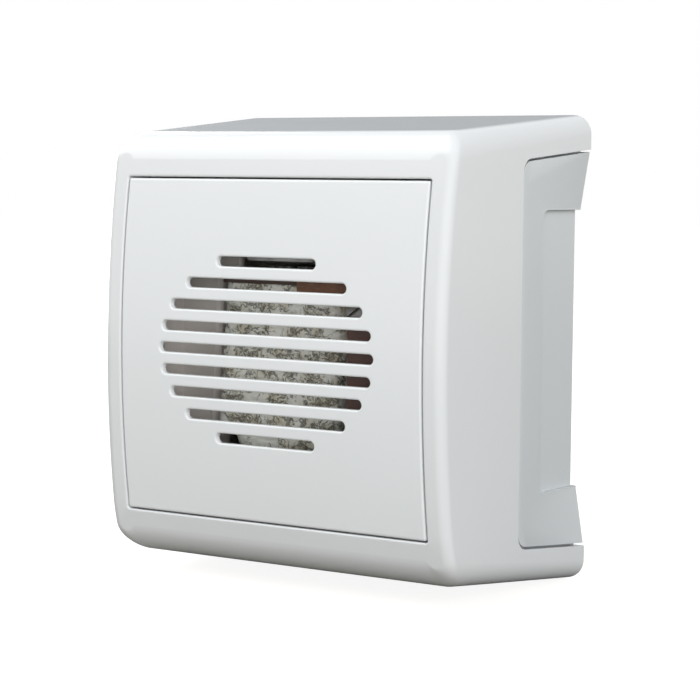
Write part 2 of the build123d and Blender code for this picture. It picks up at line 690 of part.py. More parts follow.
with BuildPart() as insulation_sheet:
    with BuildSketch(at(YOKE_LEG_FRONT)):
        with Locations((COIL_X, (COIL_BOTTOM + EAR_BASE) / 2)):
            Rectangle(BOBBIN_W - 2, EAR_BASE - COIL_BOTTOM - 2)
    extrude(amount=SHEET_T)
insulation_sheet.part.label = "insulation_sheet"
export_step(insulation_sheet.part, "parts/insulation_sheet.step")

# Rubber washers between the tray's standoffs and the yoke, and the screws behind them
with BuildPart() as damping_washers:
    with BuildSketch(at(STANDOFF_END)):
        for z in YOKE_SCREW_ZS:
            with Locations((COIL_X, z)):
                Circle(WASHER_R)
                Circle(SCREW_R + SCREW_FIT, mode=Mode.SUBTRACT)
    extrude(amount=WASHER_T)
damping_washers.part.label = "damping_washers"
export_step(damping_washers.part, "parts/damping_washers.step")

BEHIND_TRAY = Plane(origin=(0, TRAY_BACK, 0), x_dir=(-1, 0, 0), z_dir=(0, 1, 0))
yoke_screws = machine_screws(
    BEHIND_TRAY,
    [(-COIL_X, z) for z in YOKE_SCREW_ZS],
    TRAY_BACK - YOKE_LEG_FRONT - SCREW_FIT,
)
yoke_screws.part.label = "yoke_screws"
export_step(yoke_screws.part, "parts/yoke_screws.step")

# Armature: a plate over the pole, with two cheeks on the pin and a tail under the spring
ARMATURE_TOP = ARMATURE_Z + ARMATURE_T
TAIL_W = YOKE_W - 2 * (EAR_T + CHEEK_GAP)
SHOULDER_Y = PIN_Y - EAR_D / 2 - 1.5
CHEEK_TOP = PIN_Z + EAR_D / 2

with BuildPart() as armature:
    with BuildSketch(Plane.XY.offset(ARMATURE_Z)) as blank:
        with Locations((COIL_X, (ARMATURE_FRONT + SHOULDER_Y) / 2)):
            Rectangle(YOKE_W, SHOULDER_Y - ARMATURE_FRONT)
        with Locations((COIL_X, (ARMATURE_FRONT + ARMATURE_BACK) / 2)):
            Rectangle(TAIL_W, ARMATURE_BACK - ARMATURE_FRONT)
        fillet(blank.vertices().group_by(Axis.Y)[0], 1.5)
    extrude(amount=ARMATURE_T)
    for side in (-1, 1):
        cheek_x = COIL_X + side * (TAIL_W - CHEEK_T) / 2
        with BuildSketch(Plane.YZ.offset(cheek_x)) as cheek:
            with Locations((PIN_Y, (ARMATURE_Z + CHEEK_TOP) / 2)):
                Rectangle(EAR_D, CHEEK_TOP - ARMATURE_Z)
            fillet(cheek.vertices().group_by(Axis.Y)[-1], EAR_D / 2 - 0.2)
        extrude(amount=CHEEK_T / 2, both=True)
    with BuildSketch(Plane.YZ.offset(COIL_X)):
        with Locations((PIN_Y, PIN_Z)):
            Circle(PIN_R + PIN_FIT)
    extrude(amount=YOKE_W, both=True, mode=Mode.SUBTRACT)
armature.part.label = "armature"
export_step(armature.part, "parts/armature.step")

with BuildPart() as hinge_pin:
    with BuildSketch(Plane.YZ.offset(COIL_X - YOKE_W / 2)):
        with Locations((PIN_Y, PIN_Z)):
            Circle(PIN_R)
    extrude(amount=YOKE_W + PIN_R)
    with BuildSketch(Plane.YZ.offset(COIL_X - YOKE_W / 2)):
        with Locations((PIN_Y, PIN_Z)):
            Circle(2 * PIN_R)
    extrude(amount=-PIN_R)
hinge_pin.part.label = "hinge_pin"
export_step(hinge_pin.part, "parts/hinge_pin.step")

# Return spring: one unbroken wire whose ends stand straight on the tail and on the stop arm
SPRING_STRAIGHT = 2 * SPRING_WIRE_R
SPRING_FOOT = SPRING_STRAIGHT + SPRING_LEAD_IN
SPRING_H = ARM_Z - ARMATURE_TOP


def spring_point(quarters):
    angle = pi / 2 * quarters
    height = SPRING_FOOT + (SPRING_H - 2 * SPRING_FOOT) * quarters / SPRING_QUARTERS
    x = COIL_X + SPRING_R * cos(angle)
    return Vector(x, SPRING_Y + SPRING_R * sin(angle), ARMATURE_TOP + height)


def spring_tangent(quarters):
    angle = pi / 2 * quarters
    climb = (SPRING_H - 2 * SPRING_FOOT) / (SPRING_QUARTERS * pi / 2)
    return Vector(-SPRING_R * sin(angle), SPRING_R * cos(angle), climb).normalized()


def biarc(start, start_dir, end, end_dir):
    """Two arcs that leave start along start_dir and reach end along end_dir."""
    chord = end - start
    both = start_dir + end_dir
    bend = 2 * (1 - start_dir.dot(end_dir))
    reach = (sqrt(chord.dot(both) ** 2 + bend * chord.dot(chord)) - chord.dot(both)) / bend
    middle = (start + end + (start_dir - end_dir) * reach) / 2
    middle_dir = (end - end_dir * reach) - (start + start_dir * reach)
    TangentArc(start, middle, tangent=start_dir)
    TangentArc(middle, end, tangent=middle_dir)


with BuildPart() as return_spring:
    up = Vector(0, 0, 1)
    last = SPRING_QUARTERS
    foot = Vector(spring_point(-1).X, spring_point(-1).Y, ARMATURE_TOP)
    head = Vector(spring_point(last + 1).X, spring_point(last + 1).Y, ARM_Z)
    foot_end = foot + up * SPRING_STRAIGHT
    head_start = head - up * SPRING_STRAIGHT
    with BuildLine() as wire:
        Line(foot, foot_end)
        biarc(foot_end, up, spring_point(0), spring_tangent(0))
        for quarter in range(SPRING_QUARTERS):
            biarc(
                spring_point(quarter),
                spring_tangent(quarter),
                spring_point(quarter + 1),
                spring_tangent(quarter + 1),
            )
        biarc(spring_point(last), spring_tangent(last), head_start, up)
        Line(head_start, head)
    with BuildSketch(Plane(origin=foot, z_dir=up)):
        Circle(SPRING_WIRE_R)
    sweep(path=wire.line)
return_spring.part.label = "return_spring"
export_step(return_spring.part, "parts/return_spring.step")

# Stop arm: a bent strip over the armature that carries the adjusting screw
ARM_TOP = ARM_Z + ARM_T

with BuildPart() as stop_arm:
    with BuildSketch(Plane.YZ.offset(COIL_X)) as strip:
        with BuildLine():
            Polyline(
                (ARM_FRONT, ARM_Z),
                (TRAY_FLOOR, ARM_Z),
                (TRAY_FLOOR, ARM_Z + ARM_FOOT_H),
                (TRAY_FLOOR - ARM_T, ARM_Z + ARM_FOOT_H),
                (TRAY_FLOOR - ARM_T, ARM_TOP),
                (ARM_FRONT, ARM_TOP),
                close=True,
            )
        make_face()
        fillet(strip.vertices().sort_by_distance((TRAY_FLOOR - ARM_T, ARM_TOP))[0], ARM_BEND_R)
        fillet(strip.vertices().sort_by_distance((TRAY_FLOOR, ARM_Z))[0], ARM_BEND_R + ARM_T)
    extrude(amount=ARM_W / 2, both=True)
    with BuildSketch(at(TRAY_FLOOR)):
        with Locations((COIL_X, ARM_Z + ARM_FOOT_H / 2)):
            RectangleRounded(ARM_FOOT_W, ARM_FOOT_H, ARM_T)
        with Locations((COIL_X, ARM_Z)):
            Rectangle(ARM_W, 2 * (ARM_T + ARM_BEND_R), mode=Mode.SUBTRACT)
    extrude(amount=ARM_T)
    corners = stop_arm.edges().filter_by(Axis.Z).group_by(Axis.Y)[0]
    fillet(corners, ARM_T)
    with BuildSketch(at(TRAY_FLOOR)):
        with Locations(*ARM_SCREWS):
            Circle(SCREW_R + SCREW_FIT)
    extrude(amount=ARM_T, mode=Mode.SUBTRACT)
    with BuildSketch(Plane.XY.offset(ARM_Z)):
        with Locations((COIL_X, ADJUST_Y)):
            Circle(ADJUST_R + THREAD_FIT)
    extrude(amount=ARM_T, mode=Mode.SUBTRACT)
stop_arm.part.label = "stop_arm"
export_step(stop_arm.part, "parts/stop_arm.step")

arm_screws = machine_screws(at(TRAY_FLOOR - ARM_T), ARM_SCREWS, ARM_T + TRAY_FLOOR_T)
arm_screws.part.label = "arm_screws"
export_step(arm_screws.part, "parts/arm_screws.step")

with BuildPart() as adjusting_screw:
    tip_z = ARMATURE_TOP + ADJUST_TIP_GAP
    with BuildSketch(Plane.XY.offset(tip_z)):
        with Locations((COIL_X, ADJUST_Y)):
            Circle(ADJUST_R)
    extrude(amount=ADJUST_TOP - tip_z)
    fillet(adjusting_screw.edges().group_by(Axis.Z)[0], ADJUST_R / 3)
    chamfer(adjusting_screw.edges().group_by(Axis.Z)[-1], ADJUST_R / 6)
    with BuildSketch(Plane.XY.offset(ADJUST_TOP)):
        with Locations((COIL_X, ADJUST_Y)):
            Rectangle(2 * ADJUST_R, SCREW_SLOT_W)
    extrude(amount=-SCREW_SLOT_D, mode=Mode.SUBTRACT)
adjusting_screw.part.label = "adjusting_screw"
export_step(adjusting_screw.part, "parts/adjusting_screw.step")

with BuildPart() as lock_nut:
    with BuildSketch(Plane.XY.offset(ARM_TOP + NUT_GAP)):
        with Locations((COIL_X, ADJUST_Y)):
            RegularPolygon(NUT_FLATS / 2, 6, major_radius=False)
    extrude(amount=NUT_T)
    # The corners are turned down at both ends
    with BuildSketch(Plane.YZ.offset(COIL_X)) as turned:
        with BuildLine():
            corner_r = NUT_FLATS / sqrt(3)
            Polyline(
                (ADJUST_Y, ARM_TOP + NUT_GAP),
                (ADJUST_Y + NUT_FLATS / 2, ARM_TOP + NUT_GAP),
                (ADJUST_Y + corner_r, ARM_TOP + NUT_GAP + 0.25),
                (ADJUST_Y + corner_r, ARM_TOP + NUT_GAP + NUT_T - 0.25),
                (ADJUST_Y + NUT_FLATS / 2, ARM_TOP + NUT_GAP + NUT_T),
                (ADJUST_Y, ARM_TOP + NUT_GAP + NUT_T),
                close=True,
            )
        make_face()
    revolve(axis=Axis((COIL_X, ADJUST_Y, 0), (0, 0, 1)), mode=Mode.INTERSECT)
    with BuildSketch(Plane.XY.offset(ARM_TOP)):
        with Locations((COIL_X, ADJUST_Y)):
            Circle(ADJUST_R + THREAD_FIT)
    extrude(amount=2 * NUT_T, mode=Mode.SUBTRACT)
lock_nut.part.label = "lock_nut"
export_step(lock_nut.part, "parts/lock_nut.step")

# Terminal board with a branch towards the coil, held by two screws
BOARD_FRONT = BOARD_BACK - BOARD_T
TERMINAL_POINTS = [(x, TERMINAL_SCREW_Z) for x in TERMINAL_XS]

with BuildPart() as terminal_board:
    with BuildSketch(at(BOARD_BACK)) as board:
        with BuildLine():
            Polyline(
                (BOARD_LEFT, BOARD_BOTTOM),
                (BOARD_RIGHT, BOARD_BOTTOM),
                (BOARD_RIGHT, BOARD_TOP),
                (BOARD_LEFT, BOARD_TOP),
                (BOARD_LEFT, BRANCH_TOP),
                (BRANCH_LEFT, BRANCH_TOP),
                (BRANCH_LEFT, BRANCH_BOTTOM),
                (BOARD_LEFT, BRANCH_BOTTOM),
                close=True,
            )
        make_face()
        fillet(board.vertices(), 0.6)
        with Locations(*BOARD_POSTS, *TERMINAL_POINTS):
            Circle(SCREW_R + SCREW_FIT, mode=Mode.SUBTRACT)
    extrude(amount=BOARD_T)
terminal_board.part.label = "terminal_board"
export_step(terminal_board.part, "parts/terminal_board.step")

board_screws = machine_screws(at(BOARD_FRONT), BOARD_POSTS, BOARD_T + BOARD_SCREW_L - CUT)
board_screws.part.label = "board_screws"
export_step(board_screws.part, "parts/board_screws.step")

# Brass terminal blocks behind the board, each with a screw across its wire bore
for name, x in zip(("inner", "outer"), TERMINAL_XS):
    with BuildPart() as block:
        with BuildSketch(at(BOARD_BACK)):
            with Locations((x, (TERMINAL_BOTTOM + TERMINAL_TOP) / 2)):
                Rectangle(TERMINAL_W, TERMINAL_TOP - TERMINAL_BOTTOM)
        extrude(amount=-TERMINAL_D)
        chamfer(block.edges().filter_by(Axis.Z), 0.3)
        with BuildSketch(Plane.XY.offset(TERMINAL_BOTTOM)):
            with Locations((x, BOARD_BACK + WIRE_BORE_SET_BACK)):
                Circle(WIRE_BORE_R)
        extrude(amount=TERMINAL_SCREW_Z + WIRE_BORE_R - TERMINAL_BOTTOM, mode=Mode.SUBTRACT)
        with BuildSketch(at(BOARD_BACK)):
            with Locations((x, TERMINAL_SCREW_Z)):
                Circle(TERMINAL_SCREW_R + THREAD_FIT)
        extrude(amount=-WIRE_BORE_SET_BACK, mode=Mode.SUBTRACT)
    block.part.label = "terminal_block_" + name
    export_step(block.part, "parts/terminal_block_" + name + ".step")

    screw = machine_screws(
        at(BOARD_FRONT),
        [(x, TERMINAL_SCREW_Z)],
        TERMINAL_SCREW_L,
        TERMINAL_SCREW_R,
    )
    screw.part.label = "terminal_screw_" + name
    export_step(screw.part, "parts/terminal_screw_" + name + ".step")

# Leads from the coil to the two terminal blocks
FLANGE_EDGE = COIL_X + BOBBIN_W / 2
BORE_Y = BOARD_BACK + WIRE_BORE_SET_BACK
LEAD_TOP_X = FLANGE_EDGE - LEAD_INSET
LEAD_TOP_Y = COIL_Y - LEAD_FORWARD
LEAD_TOP_Z = COIL_TOP + LEAD_RISE
LEAD_SIDE_X = FLANGE_EDGE + LEAD_SIDE
LEAD_SIDE_Y = COIL_Y + LEAD_BACK
BLOCK_REAR = BOARD_BACK + TERMINAL_D
BLOCK_MIDDLE = (TERMINAL_BOTTOM + TERMINAL_TOP) / 2

with BuildPart() as coil_lead_inner:
    with BuildLine() as route:
        FilletPolyline(
            (LEAD_TOP_X, LEAD_TOP_Y, COIL_TOP),
            (LEAD_TOP_X, LEAD_TOP_Y, LEAD_TOP_Z),
            (TERMINAL_XS[0], BORE_Y, LEAD_TOP_Z),
            (TERMINAL_XS[0], BORE_Y, TERMINAL_TOP),
            radius=LEAD_BEND_R,
        )
    with BuildSketch(Plane(origin=route.line @ 0, z_dir=route.line % 0)):
        Circle(LEAD_R)
    sweep(path=route.line)
coil_lead_inner.part.label = "coil_lead_inner"
export_step(coil_lead_inner.part, "parts/coil_lead_inner.step")

with BuildPart() as coil_lead_outer:
    with BuildLine() as route:
        FilletPolyline(
            (FLANGE_EDGE, LEAD_SIDE_Y, COIL_BOTTOM + LEAD_R),
            (LEAD_SIDE_X, LEAD_SIDE_Y, COIL_BOTTOM + LEAD_R),
            (LEAD_SIDE_X, LEAD_SIDE_Y, BLOCK_MIDDLE),
            (TERMINAL_XS[1], LEAD_SIDE_Y, BLOCK_MIDDLE),
            (TERMINAL_XS[1], BLOCK_REAR, BLOCK_MIDDLE),
            radius=LEAD_BEND_R,
        )
    with BuildSketch(Plane(origin=route.line @ 0, z_dir=route.line % 0)):
        Circle(LEAD_R)
    sweep(path=route.line)
coil_lead_outer.part.label = "coil_lead_outer"
export_step(coil_lead_outer.part, "parts/coil_lead_outer.step")
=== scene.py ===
"""Dresses the doorbell buzzer: moulded case, slotted front plate, coil, armature and terminals."""

import json
import math

import bmesh
import bpy
from bpy.props import FloatProperty, FloatVectorProperty, IntProperty, PointerProperty
from mathutils import Matrix, Vector, noise
from mathutils.geometry import delaunay_2d_cdt

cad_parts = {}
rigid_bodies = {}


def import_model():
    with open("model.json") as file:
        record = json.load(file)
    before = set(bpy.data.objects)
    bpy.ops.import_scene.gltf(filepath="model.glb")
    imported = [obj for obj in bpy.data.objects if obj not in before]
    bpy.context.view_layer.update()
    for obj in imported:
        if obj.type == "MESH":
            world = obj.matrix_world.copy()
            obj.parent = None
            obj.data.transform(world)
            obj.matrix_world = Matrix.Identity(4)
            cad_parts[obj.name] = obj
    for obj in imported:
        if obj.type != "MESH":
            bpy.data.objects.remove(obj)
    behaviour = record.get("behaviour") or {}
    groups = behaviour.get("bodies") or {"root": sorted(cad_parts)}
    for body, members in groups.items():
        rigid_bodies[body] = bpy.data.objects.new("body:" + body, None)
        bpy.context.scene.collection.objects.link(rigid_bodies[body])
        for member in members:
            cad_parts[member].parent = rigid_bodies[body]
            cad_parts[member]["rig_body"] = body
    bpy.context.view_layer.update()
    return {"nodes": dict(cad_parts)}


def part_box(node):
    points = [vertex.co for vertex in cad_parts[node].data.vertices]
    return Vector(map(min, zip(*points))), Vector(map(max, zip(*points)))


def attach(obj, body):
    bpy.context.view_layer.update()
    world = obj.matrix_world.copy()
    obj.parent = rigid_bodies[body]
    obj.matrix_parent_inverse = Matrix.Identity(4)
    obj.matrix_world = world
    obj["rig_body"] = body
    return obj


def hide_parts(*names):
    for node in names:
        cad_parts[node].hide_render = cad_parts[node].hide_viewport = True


bl_info = {
    "name": "Doorbell Buzzer",
    "version": (1, 0, 0),
    "blender": (4, 5, 0),
    "location": "3D View > Sidebar > Buzzer",
    "description": "Builds the case, grille and works of a wall-mounted doorbell buzzer",
    "category": "Object",
}

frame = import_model()
NODES = frame["nodes"]

MM = 0.001
CASE_LOW, CASE_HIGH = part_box("cover_frame")
PLATE_LOW, PLATE_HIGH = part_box("front_plate")
TAPE_LOW, TAPE_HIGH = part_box("coil_tape")

# The bobbin's upper flange is this much thicker than the CAD's, and the tape ends below it
FLANGE_DROP = 0.7 * MM

# Cut-outs through the cover frame's side walls
CUTOUT_REACH = 24.2 * MM
CUTOUT_HALF = 38.4 * MM
CUTOUT_CORNER = 2.7 * MM
CUTOUT_ROUNDING = 1.2 * MM

# Points round a slot's rim, steps of its rounding, and the flat strip in front of it
RIM_POINTS = 40
RIM_ROUND_STEPS = 4
RIM_SUPPORT = 0.12 * MM

# Rounding of the box's side pads, weight of flat faces, and distances for merging corners
SOFT_PAD_EDGE = 0.25 * MM
FLAT_FACE_WEIGHT = 90
CAD_MERGE = 1e-6
CUT_MERGE = 2e-6
RIM_MERGE = 3e-6
COLLAPSED_MERGE = 1e-7

CAMERA_SPOT = Vector((0.23434, -0.37241, 0.03227))
CAMERA_RIGHT = Vector((0.83189087, 0.55485787, 0.00950421))
CAMERA_UP = Vector((-0.05159451, 0.06027986, 0.9968472))
CAMERA_SENSOR = 36.0
CAMERA_LENS = 111.24

SURFACE_OUTPUTS = [
    ("Colour", "NodeSocketColor"),
    ("Roughness", "NodeSocketFloat"),
    ("Height", "NodeSocketFloat"),
]


class BuzzerSizes(bpy.types.PropertyGroup):
    """Sizes of the moulded case and its grille."""

    depth: FloatProperty(
        name="Depth",
        description="From the wall to the middle of the bulged front",
        default=CASE_HIGH.y - CASE_LOW.y,
        unit="LENGTH",
    )
    rear_width: FloatProperty(
        name="Rear width",
        description="Width of the cover frame at the wall",
        default=CASE_HIGH.x - CASE_LOW.x,
        unit="LENGTH",
    )
    rear_height: FloatProperty(
        name="Rear height",
        description="Height of the cover frame at the wall",
        default=CASE_HIGH.z - CASE_LOW.z,
        unit="LENGTH",
    )
    front_width: FloatProperty(
        name="Front width",
        description="Width of the cover frame at its front",
        default=78.1 * MM,
        unit="LENGTH",
    )
    front_height: FloatProperty(
        name="Front height",
        description="Height of the cover frame at its front",
        default=80.7 * MM,
        unit="LENGTH",
    )
    corner_radius: FloatProperty(
        name="Front corner radius",
        description="Radius of the case's four corners at its front",
        default=5.0 * MM,
        unit="LENGTH",
    )
    rear_corner_radius: FloatProperty(
        name="Rear corner radius",
        description="Radius of the case's four corners at the wall",
        default=3.8 * MM,
        unit="LENGTH",
    )
    side_curve: FloatProperty(
        name="Side curve",
        description="How far the left and right sides curve in towards the front",
        default=0.55 * MM,
        unit="LENGTH",
    )
    chin: FloatProperty(
        name="Chin angle",
        description="How far the case's face under the plate leans back from the bulge",
        default=math.radians(6.0),
        unit="ROTATION",
    )
    bulge_radius: FloatProperty(
        name="Bulge radius",
        description="Radius of the front's bulge from top to bottom",
        default=217.0 * MM,
        unit="LENGTH",
    )
    side_edge: FloatProperty(
        name="Side edge radius",
        description="Rounding between the front and the left and right sides",
        default=1.8 * MM,
        unit="LENGTH",
    )
    top_edge: FloatProperty(
        name="Top edge radius",
        description="Rounding between the front and the top and bottom",
        default=4.8 * MM,
        unit="LENGTH",
    )
    wall: FloatProperty(
        name="Wall",
        description="Thickness of the cover frame's walls",
        default=2.0 * MM,
        unit="LENGTH",
    )
    plate_gap: FloatProperty(
        name="Plate gap",
        description="Dark line round the front plate",
        default=0.3 * MM,
        unit="LENGTH",
    )
    plate_width: FloatProperty(
        name="Plate width",
        description="Width of the front plate",
        default=PLATE_HIGH.x - PLATE_LOW.x,
        unit="LENGTH",
    )
    plate_height: FloatProperty(
        name="Plate height",
        description="Height of the front plate",
        default=PLATE_HIGH.z - PLATE_LOW.z,
        unit="LENGTH",
    )
    plate_thickness: FloatProperty(
        name="Plate thickness",
        description="Thickness of the front plate round its slots",
        default=1.2 * MM,
        unit="LENGTH",
    )
    slot_count: IntProperty(
        name="Slots",
        description="Number of sound slots, one above the other",
        default=9,
        min=1,
    )
    slot_pitch: FloatProperty(
        name="Slot pitch",
        description="Distance from slot to slot",
        default=4.17 * MM,
        unit="LENGTH",
    )
    slot_height: FloatProperty(
        name="Slot height",
        description="Clear height of each slot",
        default=1.87 * MM,
        unit="LENGTH",
    )
    slot_lip: FloatProperty(
        name="Slot lip",
        description="Rounding of each slot's mouth",
        default=0.35 * MM,
        unit="LENGTH",
    )
    grille_width: FloatProperty(
        name="Grille width",
        description="Width of the ellipse that the slots' ends follow",
        default=48.7 * MM,
        unit="LENGTH",
    )
    grille_height: FloatProperty(
        name="Grille height",
        description="Height of the ellipse that the slots' ends follow",
        default=37.6 * MM,
        unit="LENGTH",
    )
    grille_shift: FloatProperty(
        name="Grille shift",
        description="How far the slots stand to the right of the plate's middle",
        default=-0.4 * MM,
        unit="LENGTH",
    )
    crease_depth: FloatProperty(
        name="Crease depth",
        description="How far the coil's tape is creased",
        default=0.28 * MM,
        unit="LENGTH",
    )
    tape_lean: FloatProperty(
        name="Tape lean",
        description="Sideways lean of the wrapped tape for each unit of height",
        default=0.07,
        min=0.0,
        max=0.1,
    )


class BuzzerColours(bpy.types.PropertyGroup):
    """Colours of the buzzer's materials."""

    case: FloatVectorProperty(
        name="Case",
        description="Moulded cover frame and box",
        subtype="COLOR",
        size=4,
        default=(0.695, 0.716, 0.729, 1.0),
    )
    plate: FloatVectorProperty(
        name="Plate",
        description="Moulded front plate",
        subtype="COLOR",
        size=4,
        default=(0.722, 0.746, 0.760, 1.0),
    )
    box: FloatVectorProperty(
        name="Box",
        description="Moulded back box",
        subtype="COLOR",
        size=4,
        default=(0.60, 0.63, 0.645, 1.0),
    )
    tray: FloatVectorProperty(
        name="Tray",
        description="Inner tray",
        subtype="COLOR",
        size=4,
        default=(0.70, 0.66, 0.63, 1.0),
    )
    tape: FloatVectorProperty(
        name="Tape",
        description="Creased tape round the coil",
        subtype="COLOR",
        size=4,
        default=(0.88, 0.88, 0.82, 1.0),
    )
    board: FloatVectorProperty(
        name="Board",
        description="Laminated terminal board",
        subtype="COLOR",
        size=4,
        default=(0.13, 0.055, 0.03, 1.0),
    )
    zinc: FloatVectorProperty(
        name="Zinc",
        description="Plated screws and pins",
        subtype="COLOR",
        size=4,
        default=(0.60, 0.61, 0.62, 1.0),
    )
    strip: FloatVectorProperty(
        name="Strip",
        description="Plated steel strip of the yoke, armature and stop arm",
        subtype="COLOR",
        size=4,
        default=(0.62, 0.62, 0.62, 1.0),
    )
    brass: FloatVectorProperty(
        name="Brass",
        description="Terminals and adjusting screw",
        subtype="COLOR",
        size=4,
        default=(0.66, 0.48, 0.20, 1.0),
    )


def put(tree, kind, inputs=None, **settings):
    """Adds a node, sets its settings, and sets or links its inputs."""
    node = tree.nodes.new(kind)
    for key, value in settings.items():
        setattr(node, key, value)
    for key, value in (inputs or {}).items():
        if isinstance(value, bpy.types.NodeSocket):
            tree.links.new(value, node.inputs[key])
        else:
            node.inputs[key].default_value = value
    return node


def maths(tree, operation, *terms):
    """Adds a Math node and returns its output."""
    return put(tree, "ShaderNodeMath", dict(enumerate(terms)), operation=operation).outputs[0]


def ramp(tree, value, *stops):
    """Maps a value through (position, grey) stops."""
    node = put(tree, "ShaderNodeValToRGB", {"Fac": value})
    while len(node.color_ramp.elements) < len(stops):
        node.color_ramp.elements.new(0.5)
    for element, (position, grey) in zip(node.color_ramp.elements, stops):
        element.position = position
        element.color = (grey, grey, grey, 1.0)
    return node.outputs["Color"]


def noise_field(tree, vector, scale, detail):
    """Adds a Noise Texture and returns its factor."""
    inputs = {"Vector": vector, "Scale": scale, "Detail": detail}
    return put(tree, "ShaderNodeTexNoise", inputs).outputs["Fac"]


def wave_field(tree, vector, scale, distortion, direction):
    """Adds a Wave Texture and returns its factor."""
    inputs = {"Vector": vector, "Scale": scale, "Distortion": distortion}
    return put(tree, "ShaderNodeTexWave", inputs, bands_direction=direction).outputs["Fac"]


def stretched(tree, vector, scale):
    """Scales the coordinates of a pattern along each axis."""
    return put(tree, "ShaderNodeMapping", {"Vector": vector, "Scale": scale}).outputs[0]


def blend_colours(tree, factor, first, second, blend_type="MIX"):
    """Mixes two colours and returns the result."""
    inputs = {0: factor, 6: first, 7: second}
    node = put(tree, "ShaderNodeMix", inputs, data_type="RGBA", blend_type=blend_type)
    return node.outputs[2]


def group_of(name, inputs, outputs):
    """Makes an empty shader group and returns it with its inner input and output nodes."""
    tree = bpy.data.node_groups.new(name, "ShaderNodeTree")
    for label, kind, default in inputs:
        socket = tree.interface.new_socket(label, in_out="INPUT", socket_type=kind)
        socket.default_value = default
    for label, kind in outputs:
        tree.interface.new_socket(label, in_out="OUTPUT", socket_type=kind)
    return tree, tree.nodes.new("NodeGroupInput").outputs, tree.nodes.new("NodeGroupOutput").inputs


def moulded_group():
    """Moulded plastic: faint flow marks, fine grain and a little handling dirt."""
    tree, given, wanted = group_of(
        "moulded_plastic",
        [
            ("Vector", "NodeSocketVector", (0, 0, 0)),
            ("Colour", "NodeSocketColor", (0.8, 0.8, 0.8, 1)),
            ("Tint", "NodeSocketColor", (0.7, 0.68, 0.62, 1)),
            ("Tint Amount", "NodeSocketFloat", 0.25),
            ("Roughness", "NodeSocketFloat", 0.35),
            ("Roughness Spread", "NodeSocketFloat", 0.08),
            ("Flow Height", "NodeSocketFloat", 0.6),
        ],
        SURFACE_OUTPUTS,
    )
    vector = given["Vector"]
    cloud = noise_field(tree, vector, 38.0, 4.0)
    flow = noise_field(tree, vector, 95.0, 1.0)
    grain = noise_field(tree, vector, 2500.0, 2.0)
    specks = put(tree, "ShaderNodeTexVoronoi", {"Vector": vector, "Scale": 420.0})
    stain = ramp(tree, cloud, (0.42, 0.0), (0.72, 1.0))
    amount = maths(tree, "MULTIPLY", stain, given["Tint Amount"])
    tinted = blend_colours(tree, amount, given["Colour"], given["Tint"])
    speck = ramp(tree, specks.outputs["Distance"], (0.03, 0.06), (0.07, 0.0))
    dust = (0.25, 0.24, 0.22, 1)
    tree.links.new(blend_colours(tree, speck, tinted, dust), wanted["Colour"])
    swing = maths(tree, "SUBTRACT", cloud, 0.5)
    swing = maths(tree, "MULTIPLY_ADD", swing, given["Roughness Spread"], given["Roughness"])
    tree.links.new(swing, wanted["Roughness"])
    height = maths(tree, "MULTIPLY", flow, given["Flow Height"])
    height = maths(tree, "MULTIPLY_ADD", grain, 0.12, height)
    tree.links.new(height, wanted["Height"])


def metal_group():
    """Metal: rolling or drawing marks along one direction, tarnish and stains."""
    tree, given, wanted = group_of(
        "worked_metal",
        [
            ("Vector", "NodeSocketVector", (0, 0, 0)),
            ("Colour", "NodeSocketColor", (0.6, 0.6, 0.6, 1)),
            ("Tarnish", "NodeSocketColor", (0.3, 0.28, 0.25, 1)),
            ("Tarnish Amount", "NodeSocketFloat", 0.4),
            ("Roughness", "NodeSocketFloat", 0.35),
            ("Mark Stretch", "NodeSocketVector", (1, 1, 12)),
        ],
        SURFACE_OUTPUTS,
    )
    vector = given["Vector"]
    drawn_out = put(
        tree,
        "ShaderNodeVectorMath",
        {0: vector, 1: given["Mark Stretch"]},
        operation="MULTIPLY",
    )
    marks = put(
        tree,
        "ShaderNodeTexNoise",
        {"Vector": drawn_out.outputs[0], "Scale": 260.0, "Detail": 5.0, "Roughness": 0.7},
    ).outputs["Fac"]
    cloud = noise_field(tree, vector, 240.0, 5.0)
    stain = ramp(tree, cloud, (0.45, 0.0), (0.7, 1.0))
    amount = maths(tree, "MULTIPLY", stain, given["Tarnish Amount"])
    dulled = blend_colours(tree, amount, given["Colour"], given["Tarnish"])
    shade = maths(tree, "MULTIPLY_ADD", marks, 0.3, 0.85)
    lined = blend_colours(tree, 1.0, dulled, shade, "MULTIPLY")
    tree.links.new(lined, wanted["Colour"])
    rough = maths(tree, "MULTIPLY_ADD", stain, 0.2, given["Roughness"])
    rough = maths(tree, "MULTIPLY_ADD", marks, 0.12, rough)
    tree.links.new(rough, wanted["Roughness"])
    tree.links.new(marks, wanted["Height"])


def wear_group():
    """Edges: a mask that is 1 on sharp edges, broken up by noise."""
    tree, given, wanted = group_of(
        "edge_wear",
        [
            ("Vector", "NodeSocketVector", (0, 0, 0)),
            ("Radius", "NodeSocketFloat", 0.0004),
        ],
        [("Mask", "NodeSocketFloat")],
    )
    rounded = put(tree, "ShaderNodeBevel", {"Radius": given["Radius"]}, samples=4)
    plain = put(tree, "ShaderNodeNewGeometry")
    along = put(
        tree,
        "ShaderNodeVectorMath",
        {0: rounded.outputs[0], 1: plain.outputs["Normal"]},
        operation="DOT_PRODUCT",
    )
    edge = ramp(tree, along.outputs["Value"], (0.86, 1.0), (0.97, 0.0))
    patches = noise_field(tree, given["Vector"], 700.0, 3.0)
    broken = ramp(tree, patches, (0.4, 0.0), (0.6, 1.0))
    tree.links.new(maths(tree, "MULTIPLY", edge, broken), wanted["Mask"])


def use_group(tree, name, inputs):
    """Places a shader group with its values and returns its outputs."""
    return put(tree, "ShaderNodeGroup", inputs, node_tree=bpy.data.node_groups[name]).outputs


